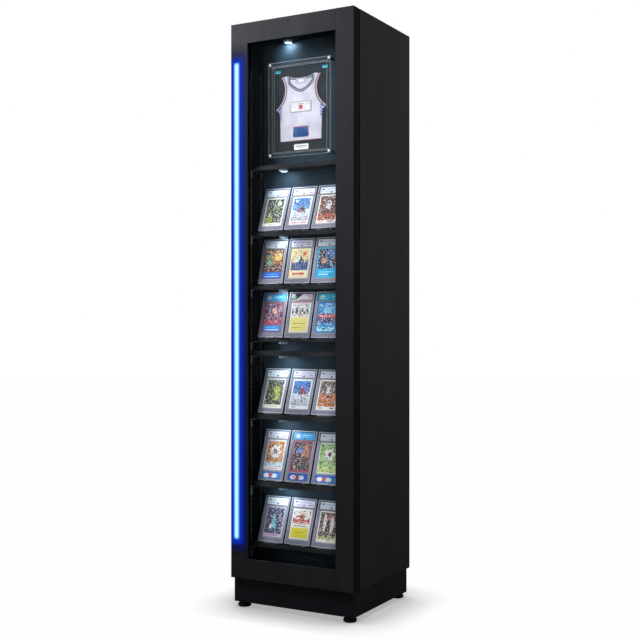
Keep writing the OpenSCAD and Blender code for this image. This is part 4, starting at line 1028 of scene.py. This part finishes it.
def sheet_plate(bm, matrix, width, height, thick, corner, index):
    """A thin plate with rounded corners that faces -Y, its front unwrapped for printing."""
    uv = bm.loops.layers.uv.get("print") or bm.loops.layers.uv.new("print")
    outline = []
    for x, z, start in ((width - corner, corner, -90), (width - corner, height - corner, 0),
                        (corner, height - corner, 90), (corner, corner, 180)):
        for k in range(5):
            angle = math.radians(start + 22.5 * k)
            outline.append((x + corner * math.cos(angle), z + corner * math.sin(angle)))
    front = [bm.verts.new(matrix @ (Vector((x, 0, z)) * MM)) for x, z in outline]
    back = [bm.verts.new(matrix @ (Vector((x, thick, z)) * MM)) for x, z in outline]
    faces = [bm.faces.new(front), bm.faces.new(back[::-1])]
    count = len(outline)
    for k in range(count):
        n = (k + 1) % count
        faces.append(bm.faces.new([front[n], front[k], back[k], back[n]]))
    places = {v: p for v, p in zip(front + back, outline + outline)}
    for face in faces:
        face.material_index = index
        for loop in face.loops:
            x, z = places[loop.vert]
            loop[uv].uv = (x / width, z / height)


# Slabs


def stepped(bm, zones, thick, matrix, back_index, side_index):
    """A plate whose front is stepped: each zone is (x0, z0, x1, z1, depth, material), later ones on top."""
    xs = sorted({round(v, 4) for z in zones for v in (z[0], z[2])})
    zs = sorted({round(v, 4) for z in zones for v in (z[1], z[3])})
    corners = {}

    def vert(x, y, z):
        key = (round(x, 4), round(y, 4), round(z, 4))
        if key not in corners:
            corners[key] = bm.verts.new(matrix @ (Vector(key) * MM))
        return corners[key]

    def face(points, index):
        made = bm.faces.new([vert(*p) for p in points])
        made.material_index = index

    def cell(i, j):
        if not (0 <= i < len(xs) - 1 and 0 <= j < len(zs) - 1):
            return thick, side_index
        x, z = (xs[i] + xs[i + 1]) / 2, (zs[j] + zs[j + 1]) / 2
        inside = [zone for zone in zones if zone[0] < x < zone[2] and zone[1] < z < zone[3]]
        return inside[-1][4], inside[-1][5]

    for i in range(-1, len(xs) - 1):
        for j in range(-1, len(zs) - 1):
            depth, index = cell(i, j)
            right, right_index = cell(i + 1, j)
            above, above_index = cell(i, j + 1)
            if i >= 0 and j >= 0:
                x0, x1, z0, z1 = xs[i], xs[i + 1], zs[j], zs[j + 1]
                face([(x0, depth, z0), (x1, depth, z0), (x1, depth, z1), (x0, depth, z1)], index)
                face([(x0, thick, z1), (x1, thick, z1), (x1, thick, z0), (x0, thick, z0)], back_index)
            if j >= 0 and depth != right:
                x, proud = xs[i + 1], index if depth < right else right_index
                if side_index in (index, right_index):
                    proud = side_index
                z0, z1 = zs[j], zs[j + 1]
                face([(x, depth, z0), (x, right, z0), (x, right, z1), (x, depth, z1)], proud)
            if i >= 0 and depth != above:
                z, proud = zs[j + 1], index if depth < above else above_index
                x0, x1 = xs[i], xs[i + 1]
                face([(x0, depth, z), (x1, depth, z), (x1, above, z), (x0, above, z)], proud)


# A slab's width and thickness, the gap between slabs, the height of the slabs in each row, the clear
# border round card and label, the width of the rim, and how deep the prints lie
SLAB_W, SLAB_T = 82.5, 5.0
SLAB_GAP = 6.0
ROW_HEIGHTS = (134, 134, 134, 134, 150, 134)
BORDER = 5.0
RIM = 1.9
PRINT_DEPTH = 2.3
# A slab with more room than this below its card holds a second label there
FOOT_ROOM = 12


def row_matrices(row, height):
    """The place of each slab's front lower left corner in a row, and its lean."""
    low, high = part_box(f"slabs_row_{row}")
    deep, tall = (high.y - low.y) / MM, (high.z - low.z) / MM
    lean = math.acos((tall * height - deep * SLAB_T) / (height ** 2 - SLAB_T ** 2))
    foot = low.z + SLAB_T * MM * math.sin(lean)
    step = (SLAB_W + SLAB_GAP) * MM
    return [Matrix.Translation((low.x + i * step, low.y, foot)) @ Matrix.Rotation(-lean, 4, "X")
            for i in range(3)]


def grown(box, by):
    """The corners of a box of (x, z, width, height), moved out by a distance."""
    x, z, width, height = box
    return x - by, z - by, x + width + by, z + height + by


def slab_layout(height):
    """The card's left and lower edges, the label's lower edge and the room below the card."""
    label_z = height - BORDER - LABEL_H
    card_z = label_z - BORDER - CARD_H
    return (SLAB_W - CARD_W) / 2, card_z, label_z, card_z - 2 * BORDER


def slab_zones(height):
    """The steps of a slab's front: rim bead, frosted field, windows with their rings, and the divider. The
    bead faces carry a painted highlight and the groove faces painted shade.
    """
    bead, field, clear, groove = range(4)
    card_x, card_z, label_z, room = slab_layout(height)
    label = ((SLAB_W - LABEL_W) / 2, label_z, LABEL_W, LABEL_H)
    card = (card_x, card_z, CARD_W, CARD_H)
    right, top = SLAB_W - RIM, height - RIM
    middle = label_z - BORDER / 2
    zones = [(0, 0, SLAB_W, height, 0.0, bead),
             (RIM, RIM, right, top, 0.6, field),
             (*grown(label, 2.2), 1.0, groove),
             (*grown(label, 0.3), 0.8, clear),
             (RIM, middle - 0.9, right, middle + 1.9, 1.2, groove),
             (RIM, middle - 2.0, right, middle - 0.9, 0.2, bead),
             (*grown(card, 3.0), 0.15, bead),
             (*grown(card, 1.7), 1.1, groove),
             (*grown(card, 0.6), 0.8, clear)]
    if room > FOOT_ROOM:
        card_right = card_x + CARD_W
        zones += [(card_x - 2.2, BORDER - 2.2, card_right + 2.2, BORDER + room + 1.6, 0.15, bead),
                  (card_x - 1, BORDER - 1, card_right + 1, BORDER + room + 0.6, 1.1, groove),
                  (card_x, BORDER, card_right, BORDER + room, 0.8, clear)]
    return zones


def build_slabs():
    """Six rows of three slabs, each row on its clear easels."""
    for row, height in enumerate(ROW_HEIGHTS, 1):
        places = row_matrices(row, height)
        slab_cases(row, height, places)
        slab_prints(row, height, places)
        # The easels' side faces in the near white edge finish, a painted glint
        eased(f"easels_row_{row}", 0.3, FINISH["acrylic"], FINISH["acrylic_edge"],
              lambda face: abs(face.normal.x) > 0.9, segments=1)


def slab_cases(row, height, places):
    """The clear cases of a row, with their stepped fronts."""
    bm = bmesh.new()
    for matrix in places:
        stepped(bm, slab_zones(height), SLAB_T, matrix, back_index=1, side_index=4)
    round_edges(bm, sharp_edges(bm), 0.2, segments=1)
    piece = finished(bm, f"slab_cases_row_{row}", FINISH["bead"], FINISH["frost"], FINISH["pane"],
                     FINISH["groove"], FINISH["slab_side"], smooth=0)
    stands_for(piece, f"slabs_row_{row}")


def slab_prints(row, height, places):
    """The cards and the labels inside a row's cases."""
    card_x, card_z, label_z, room = slab_layout(height)
    label_x = (SLAB_W - LABEL_W) / 2
    cards, labels = bmesh.new(), bmesh.new()
    for i, matrix in enumerate(places):
        at = matrix @ Matrix.Translation(Vector((card_x, PRINT_DEPTH, card_z)) * MM)
        sheet_plate(cards, at, CARD_W, CARD_H, 0.6, 3.0, i)
        at = matrix @ Matrix.Translation(Vector((label_x, PRINT_DEPTH, label_z)) * MM)
        sheet_plate(labels, at, LABEL_W, LABEL_H, 0.6, 1.2, i)
        if room > FOOT_ROOM:
            at = matrix @ Matrix.Translation(Vector((card_x, PRINT_DEPTH - 1.2, BORDER)) * MM)
            sheet_plate(labels, at, CARD_W, room, 0.4, 1.2, 3 + i)
    prints = [card_print(row, i) for i in range(3)]
    piece = finished(cards, f"cards_row_{row}", *prints, smooth=0)
    stands_for(piece, f"slabs_row_{row}", slot="backing_board")
    styles = ROW_LABELS[row - 1] + (FOOT_LABELS if room > FOOT_ROOM else ())
    piece = finished(labels, f"labels_row_{row}", *map(label_print, styles), smooth=0)
    stands_for(piece, f"slabs_row_{row}", slot="backing_board")


def card_print(row, i):
    border, window, ground, layers, later = CARDS[row - 1][i]
    return printed(f"card_print_{row}_{i + 1}", CARD_W, CARD_H, border, layers + fine_detail(row, i), later,
                   window, ground)


def fine_detail(row, i):
    """The small dark and light marks over every card picture."""
    shift = 17 * row + 5 * i
    return [("splash", 4.2, 0.44, "15161c", shift), ("splash", 3.4, 0.41, "e2e5ec", shift + 9)]


def label_print(style):
    known = bpy.data.materials.get("label_print_" + style)
    if known:
        return known
    ground, layers = LABELS[style]
    return printed("label_print_" + style, LABEL_W, LABEL_H, ground, layers)


# Framed jersey


def build_frame():
    """The clear tray with its studs and plaques, and the jersey in it."""
    eased("frame_tray", 1.4, FINISH["frame_sheet"], FINISH["frame_arris"])
    build_studs()
    build_plaques()
    build_jersey()


def build_studs():
    """The studs at the frame's corners, their heads near white with a painted highlight glow, and their
    spacers behind the sheet in dark steel as painted shade.
    """
    low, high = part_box("frame_tray")
    inset = 5.25 * MM
    deep = (high.y - low.y) / MM
    outline = [(0, 2), (2.2, 1.9), (3.4, 1.3), (4, 0.5), (4, 0), (2.5, 0), (2.5, -2.9, 1), (4, -3.1, 1),
               (4, -deep, 1), (2.5, -deep, 1), (2.5, -deep - 8, 1), (0, -deep - 8, 1)]
    bm = bmesh.new()
    for x in (low.x + inset, high.x - inset):
        for z in (low.z + inset, high.z - inset):
            turned(bm, outline, facing_front((x, low.y, z)), steps=24)
    stands_for(finished(bm, "frame_studs_turned", FINISH["stud"], FINISH["dark_steel"]), "frame_studs")


# What is printed on the plaques: width, height, ground and the shapes on it, all plain bars and blots
PLAQUES = {
    "chest_plate": (69, 30, "b6b4bb", [
        ("panel", 2, 2, 67, 28, "cfcdd3"), ("splash", 7, 0.36, "a5a2ab"), ("panel", 20, 4, 50, 26, "d9d2d4"),
        ("star", 35, 14, 9, 5, 0.45, "b8404a"), ("panel", 24, 22, 46, 24, "85808a"),
        ("disc", 11, 9, 5, 4, "f4f4f8"), ("disc", 58, 12, 5, 5, "f1f1f6"), ("panel", 0, 0, 69, 0.9, "5c5962"),
        ("panel", 0, 29.1, 69, 30, "5c5962"), ("panel", 0, 0, 0.9, 30, "5c5962"),
        ("panel", 68.1, 0, 69, 30, "5c5962")]),
    "hem_patch": (51, 31, "c4624a", [
        ("panel", 2, 2, 49, 29, "134f8e"), ("splash", 12, 0.4, "1d66a8"), ("swell", 12, 3, 20, 0.4, "0d3a72"),
        ("disc", 26, 17, 12, 6, "0e2f5c"), ("disc", 26, 17, 9, 3.6, "1b4a80")]),
    "caption": (47, 16, "e9e9ec", [
        ("panel", 5, 8.4, 42, 11.8, "35353d"), ("panel", 5, 5, 30, 6.6, "9a9aa4"),
        ("bands", 90, 3.4, 0.3, "dcdce2")]),
    "corner_label": (17, 8, "1f9fc4", [
        ("swell", 4, 1.4, 9, 0.5, "53c8de"), ("disc", 12, 4.6, 3, 2.2, "0f5f80")]),
    "neck_label": (34, 13, "8f909c", [
        ("panel", 1.6, 1.6, 32.4, 11.4, "b9bac6"), ("panel", 9, 4, 25, 9, "ececf2"),
        ("disc", 6, 6.5, 2, 2, "6b6c7a"), ("disc", 28, 6.5, 2, 2, "6b6c7a")]),
}


def plaque(bm, kind, x, z, front, thick=1.0):
    """One plaque with its lower edge at z, its middle at x and its face at front."""
    width, height = PLAQUES[kind][:2]
    corner = Matrix.Translation((x - width / 2 * MM, front, z))
    sheet_plate(bm, corner, width, height, thick, 1.2, list(PLAQUES).index(kind))


def build_plaques():
    """The plate on the chest, the patch above the hem, the caption below and the small labels."""
    low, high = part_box("jersey")
    board_low, board_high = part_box("frame_backing")
    caption_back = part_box("frame_plaques")[1].y
    x = (low.x + high.x) / 2
    front = low.y - 1.0 * MM
    bm = bmesh.new()
    plaque(bm, "chest_plate", x, low.z + 0.43 * (high.z - low.z), front)
    plaque(bm, "hem_patch", x, low.z + 10 * MM, front)
    plaque(bm, "caption", x, low.z - 26 * MM, caption_back - 1.0 * MM)
    for aside in (-78 * MM, 78 * MM):
        plaque(bm, "corner_label", x + aside, board_high.z - 15 * MM, board_low.y - 0.4 * MM, 0.35)
    plaque(bm, "neck_label", x, low.z + 166 * MM, high.y - 1.1 * MM, 0.3)
    prints = [printed(kind + "_print", *facts) for kind, facts in PLAQUES.items()]
    stands_for(finished(bm, "frame_plaques_printed", *prints, smooth=0), "frame_plaques")


# Half outline of the jersey: (distance from the middle, height), from the hem up the side and the armhole
SIDE = [(68, 0), (68.5, 30), (69, 60), (70, 76), (72.5, 86), (78, 90), (86, 94)]
ARMHOLE = [(86, 94), (77, 100), (68, 109), (60, 120), (55, 133), (52.5, 148), (54, 162), (58, 175), (62, 184),
           (65, 189)]
# Half the width of the neck opening, and how deep its V reaches
NECK_X = 35.0
V_DEPTH = 43.0
# The trims: where each stripe starts and ends from the cloth's edge, and its colour
ARM_TRIM = ((-1, 2.4, "b02c3a"), (2.4, 3.8, "cfcfdc"), (3.8, 7.2, "23253b"))
NECK_TRIM = ((-1, 3.8, "16182b"), (3.8, 5.0, "bcbdce"), (5.0, 8.6, "26283f"))


def outline_x(points, height):
    """The distance from the middle at a height, along an outline."""
    for (x0, z0), (x1, z1) in zip(points, points[1:]):
        if z0 <= height <= z1:
            return x0 + (x1 - x0) * (height - z0) / (z1 - z0)
    return points[-1][0]


def smoothed(points, steps=5):
    """A smooth curve through the points."""
    curve = []
    ends = [points[0]] + list(points) + [points[-1]]
    for a, b, c, d in zip(ends, ends[1:], ends[2:], ends[3:]):
        for k in range(steps):
            t = k / steps
            curve.append(tuple(0.5 * (2 * q + (r - p) * t + (2 * p - 5 * q + 4 * r - s) * t * t
                                      + (3 * q - p - 3 * r + s) * t ** 3) for p, q, r, s in zip(a, b, c, d)))
    return curve + [points[-1]]


def neck_edge(height, tall, depth):
    """The neckline's distance from the middle at a height: nothing below its lowest point."""
    share = (height - (tall - depth)) / depth
    return 0.0 if share <= 0 else NECK_X * min(1.0, (share / 0.55) ** 0.6) + 2.0 * share


def jersey_panel(bm, tall, depth, place, fold, rows=84, columns=22):
    """One layer of the jersey, front or back, with its neckline depth, in rows of loosely folded cloth."""
    arm = bm.verts.layers.float.get("arm") or bm.verts.layers.float.new("arm")
    neck = bm.verts.layers.float.get("neck") or bm.verts.layers.float.new("neck")
    side_line = smoothed(SIDE)
    arm_line = smoothed(ARMHOLE)
    neck_heights = [tall - depth + depth * k / 40 for k in range(41)]
    neck_line = [(neck_edge(z, tall, depth), z) for z in neck_heights]

    def near(line, x, z):
        return min(math.hypot(x - a, z - b) for a, b in line)

    for side in (-1, 1):
        grid = []
        for i in range(rows + 1):
            z = tall * i / rows
            outer = outline_x(side_line if z <= ARMHOLE[0][1] else arm_line, z)
            inner = min(neck_edge(z, tall, depth), outer - 4)
            line = []
            for j in range(columns + 1):
                x = inner + (outer - inner) * j / columns
                slope = 4.0 * max(0.0, (x - NECK_X) / 30) * max(0.0, (z - tall * 0.8) / (tall * 0.2))
                made = bm.verts.new(place(side * x, z - slope, fold(side * x, z - slope)))
                made[arm] = near(arm_line[::2], x, z)
                made[neck] = near(neck_line, x, z)
                line.append(made)
            grid.append(line)
        for low, high in zip(grid, grid[1:]):
            for j in range(columns):
                corners = [low[j], low[j + 1], high[j + 1], high[j]]
                bm.faces.new(corners if side > 0 else corners[::-1])


def build_jersey():
    """Front and back layers of knitted cloth, trimmed at the neck and armholes."""
    low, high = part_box("jersey")
    middle = (low.x + high.x) / 2
    tall = (high.z - low.z) / MM

    def front_place(x, z, y):
        return middle + x * MM, low.y + y * MM, low.z + z * MM

    def back_place(x, z, y):
        return middle + x * MM, high.y - y * MM, low.z + z * MM

    def front_fold(x, z):
        sway = math.sin(x * 0.11 + z * 0.035) * 0.25 + math.sin(x * 0.05 - z * 0.09 + 1.3) * 0.22
        corner = 0.5 * math.exp(-((abs(x) - 62) ** 2 + (z - 14) ** 2) / 180)
        return 0.75 + sway - corner

    bm = bmesh.new()
    jersey_panel(bm, tall, V_DEPTH, front_place, front_fold)
    jersey_panel(bm, tall, 7.0, back_place, lambda x, z: 0.35, rows=60, columns=14)
    bmesh.ops.remove_doubles(bm, verts=bm.verts, dist=0.02 * MM)
    piece = finished(bm, "jersey_cloth", jersey_finish(middle, low.z), smooth=60, outward=False)
    thick = piece.modifiers.new("cloth", "SOLIDIFY")
    thick.thickness = 0.5 * MM
    thick.offset = 0.0
    stands_for(piece, "jersey")


def jersey_finish(middle, foot):
    """White knit with dark and red trim at the neck and armholes, and blue marks at the sides."""
    finish = Finish("white_knit_jersey", roughness=0.8, specular=0.15, sheen=0.2)
    x, _, z = finish.axes(finish.spot())
    broad = finish.noise(30, detail=2.0)
    colour = finish.mix(finish.between(broad, 0.3, 0.7), ink("b9b7c6"), ink("cfcedb"))
    for edge, trim in (("arm", ARM_TRIM), ("neck", NECK_TRIM)):
        distance = finish.add("ShaderNodeAttribute", attribute_name=edge).outputs["Fac"]
        for start, end, paint in trim:
            lower = finish.math("MULTIPLY_ADD", distance, 2.0, -2.0 * start, clamp=True)
            upper = finish.math("MULTIPLY_ADD", distance, -2.0, 2.0 * end, clamp=True)
            colour = finish.mix(finish.math("MULTIPLY", lower, upper), colour, ink(paint))
    aside = finish.apart(x, middle / MM)
    up = finish.math("SUBTRACT", z, foot / MM)
    slant = finish.math("MULTIPLY_ADD", up, 1 / 9.0, finish.math("MULTIPLY", aside, 0.08))
    marks = finish.math("MULTIPLY_ADD", finish.math("PINGPONG", slant, 0.5), -6.0, 2.0, clamp=True)
    beside = finish.math("MULTIPLY", finish.between(aside, 62, 63.5), finish.between(aside, 74, 72.5))
    along = finish.math("MULTIPLY", finish.between(up, 60, 63), finish.between(up, 104, 101))
    zone = finish.math("MULTIPLY", beside, along)
    colour = finish.mix(finish.math("MULTIPLY", marks, zone), colour, ink("4a4ab0"))
    colour = finish.mix(finish.between(up, 1.6, 0.8), colour, ink("c98a96"))
    finish.set("Base Color", colour)
    across_knit = finish.math("PINGPONG", finish.math("MULTIPLY", x, 0.9), 0.5)
    up_knit = finish.math("PINGPONG", finish.math("MULTIPLY", z, 0.9), 0.5)
    finish.bump(finish.math("MULTIPLY", across_knit, up_knit), 0.25, 0.6)
    return finish.material


# Camera, lamps and floor


# The camera that sees the case as the photograph does: place in metres, turn in degrees, lens in millimetres
CAMERA_PLACE = (1.5561, -2.7860, 0.814)
CAMERA_TURN = 29.24
CAMERA_LENS = 60.64
CAMERA_SHIFT = 0.0094


def build_camera():
    camera = bpy.data.cameras.new("camera")
    camera.lens = CAMERA_LENS
    camera.sensor_width = 36.0
    camera.shift_y = CAMERA_SHIFT
    eye = bpy.data.objects.new("camera", camera)
    eye.location = CAMERA_PLACE
    eye.rotation_euler = (math.radians(90), 0, math.radians(CAMERA_TURN))
    bpy.context.scene.collection.objects.link(eye)
    bpy.context.scene.camera = eye


def lamp(name, place, target, size, power, colour=(1, 1, 1), spread=None):
    """A rectangular lamp that no camera or reflection sees, turned to its target."""
    light = bpy.data.lights.new(name, "AREA")
    light.shape = "RECTANGLE"
    light.size, light.size_y = size
    light.energy = power
    light.color = colour
    if spread:
        light.spread = math.radians(spread)
    obj = bpy.data.objects.new(name, light)
    obj.location = place
    obj.rotation_euler = (Vector(target) - Vector(place)).to_track_quat("-Z", "Y").to_euler()
    obj.visible_camera = False
    obj.visible_glossy = False
    bpy.context.scene.collection.objects.link(obj)


# Watts of each spot light: little where the slabs stand close under it
SPOT_POWER = {"ceiling_board": 0.18, "shelf_1": 0.13, "shelf_2": 0.03, "shelf_3": 0.03, "shelf_4": 0.03,
              "shelf_5": 0.09, "shelf_6": 0.09, "shelf_7": 0.09}

STRIP_POWER = 0.33
COOL_WHITE = (0.93, 0.97, 1.0)
SPOT_WHITE = (0.75, 0.92, 1.0)
WORLD_LIGHT = 0.105
# The floor: its radius, its tone under the lamps, how far the shade under the case reaches, and the openness
# that turns into its darkest and its lightest tone
FLOOR_R = 14.0
FLOOR_GREY = (0.45, 0.45, 0.45)
SHADE_REACH = 0.15
SHADE_RANGE = (0.5, 1.0)
SHADE_TONES = (0.42, 0.991)


def build_lights():
    """The studio lamps, two upright strips that light the shelves' contents, and the spots."""
    lamp("key", (-0.66, -1.0, 2.02), (-0.05, -0.18, 1.58), (0.5, 0.5), 9.5, spread=120)
    lamp("side_soft", (2.4, 0.3, 0.7), (0.2, 0.0, 0.7), (1.2, 1.2), 1.3)
    lamp("back_soft", (-1.2, 2.6, 1.7), (0.0, 0.18, 0.9), (1.4, 1.4), 11)
    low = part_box("slabs_row_6")[0].z
    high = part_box("frame_tray")[1].z
    middle = (low + high) / 2
    left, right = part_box("liner_left")[1].x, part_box("liner_right")[0].x
    for x, aim in ((left + 6 * MM, 0.10), (right - 6 * MM, -0.10)):
        lamp("display_strip", (x, door_front - 40 * MM, middle), (x + aim, door_front + 0.06, middle),
             (8 * MM, high - low), STRIP_POWER, COOL_WHITE, spread=80)
    for node, power in SPOT_POWER.items():
        x, y = spot_place(node)
        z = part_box(node)[0].z
        lamp(node + "_spot", (x, y, z - 1 * MM), (x, y + 0.03, z - 0.06), (18 * MM, 18 * MM), power,
             SPOT_WHITE)


def build_world():
    """White where the camera or a reflection sees it, and a low even light on the case."""
    world = bpy.data.worlds.new("studio")
    bpy.context.scene.world = world
    world.use_nodes = True
    tree = world.node_tree
    tree.nodes.clear()
    path = tree.nodes.new("ShaderNodeLightPath")
    seen = tree.nodes.new("ShaderNodeMath")
    seen.operation = "MAXIMUM"
    seen_all = tree.nodes.new("ShaderNodeMath")
    seen_all.operation = "MAXIMUM"
    lit = tree.nodes.new("ShaderNodeBackground")
    lit.inputs["Strength"].default_value = WORLD_LIGHT
    white = tree.nodes.new("ShaderNodeBackground")
    white.inputs["Strength"].default_value = 1.0
    choose = tree.nodes.new("ShaderNodeMixShader")
    out = tree.nodes.new("ShaderNodeOutputWorld")
    for background in (lit, white):
        background.inputs["Color"].default_value = (1, 1, 1, 1)
    wire(tree,
         (path.outputs["Is Camera Ray"], seen.inputs[0]),
         (path.outputs["Is Glossy Ray"], seen.inputs[1]),
         (seen.outputs[0], seen_all.inputs[0]),
         (path.outputs["Is Transmission Ray"], seen_all.inputs[1]),
         (seen_all.outputs[0], choose.inputs[0]),
         (lit.outputs[0], choose.inputs[1]),
         (white.outputs[0], choose.inputs[2]),
         (choose.outputs[0], out.inputs["Surface"]))


def build_floor():
    """A pale floor that shows only the soft shadow round the case's foot."""
    bm = bmesh.new()
    bmesh.ops.create_circle(bm, cap_ends=True, segments=64, radius=FLOOR_R)
    floor = finished(bm, "floor", smooth=0)
    material = bpy.data.materials.new("pale_floor")
    material.use_nodes = True
    tree = material.node_tree
    tree.nodes.clear()
    path = tree.nodes.new("ShaderNodeLightPath")
    shade = tree.nodes.new("ShaderNodeAmbientOcclusion")
    shade.inputs["Distance"].default_value = SHADE_REACH
    shade.samples = 16
    ramp = tree.nodes.new("ShaderNodeMapRange")
    for socket, value in zip(ramp.inputs[1:], (*SHADE_RANGE, *SHADE_TONES)):
        socket.default_value = value
    glow = tree.nodes.new("ShaderNodeEmission")
    plain = tree.nodes.new("ShaderNodeBsdfDiffuse")
    plain.inputs["Color"].default_value = (*FLOOR_GREY, 1)
    choose = tree.nodes.new("ShaderNodeMixShader")
    out = tree.nodes.new("ShaderNodeOutputMaterial")
    wire(tree,
         (shade.outputs["AO"], ramp.inputs[0]),
         (ramp.outputs[0], glow.inputs["Color"]),
         (path.outputs["Is Camera Ray"], choose.inputs[0]),
         (plain.outputs[0], choose.inputs[1]),
         (glow.outputs[0], choose.inputs[2]),
         (choose.outputs[0], out.inputs["Surface"]))
    floor.data.materials.append(material)


build_camera()
build_world()
build_lights()
build_floor()
build_boards()
build_shelves()
build_glass()
build_light_bar()
build_screws()
build_feet()
build_latch()
build_electrics()
build_slabs()
build_frame()

bpy.context.scene.view_settings.view_transform = "Standard"
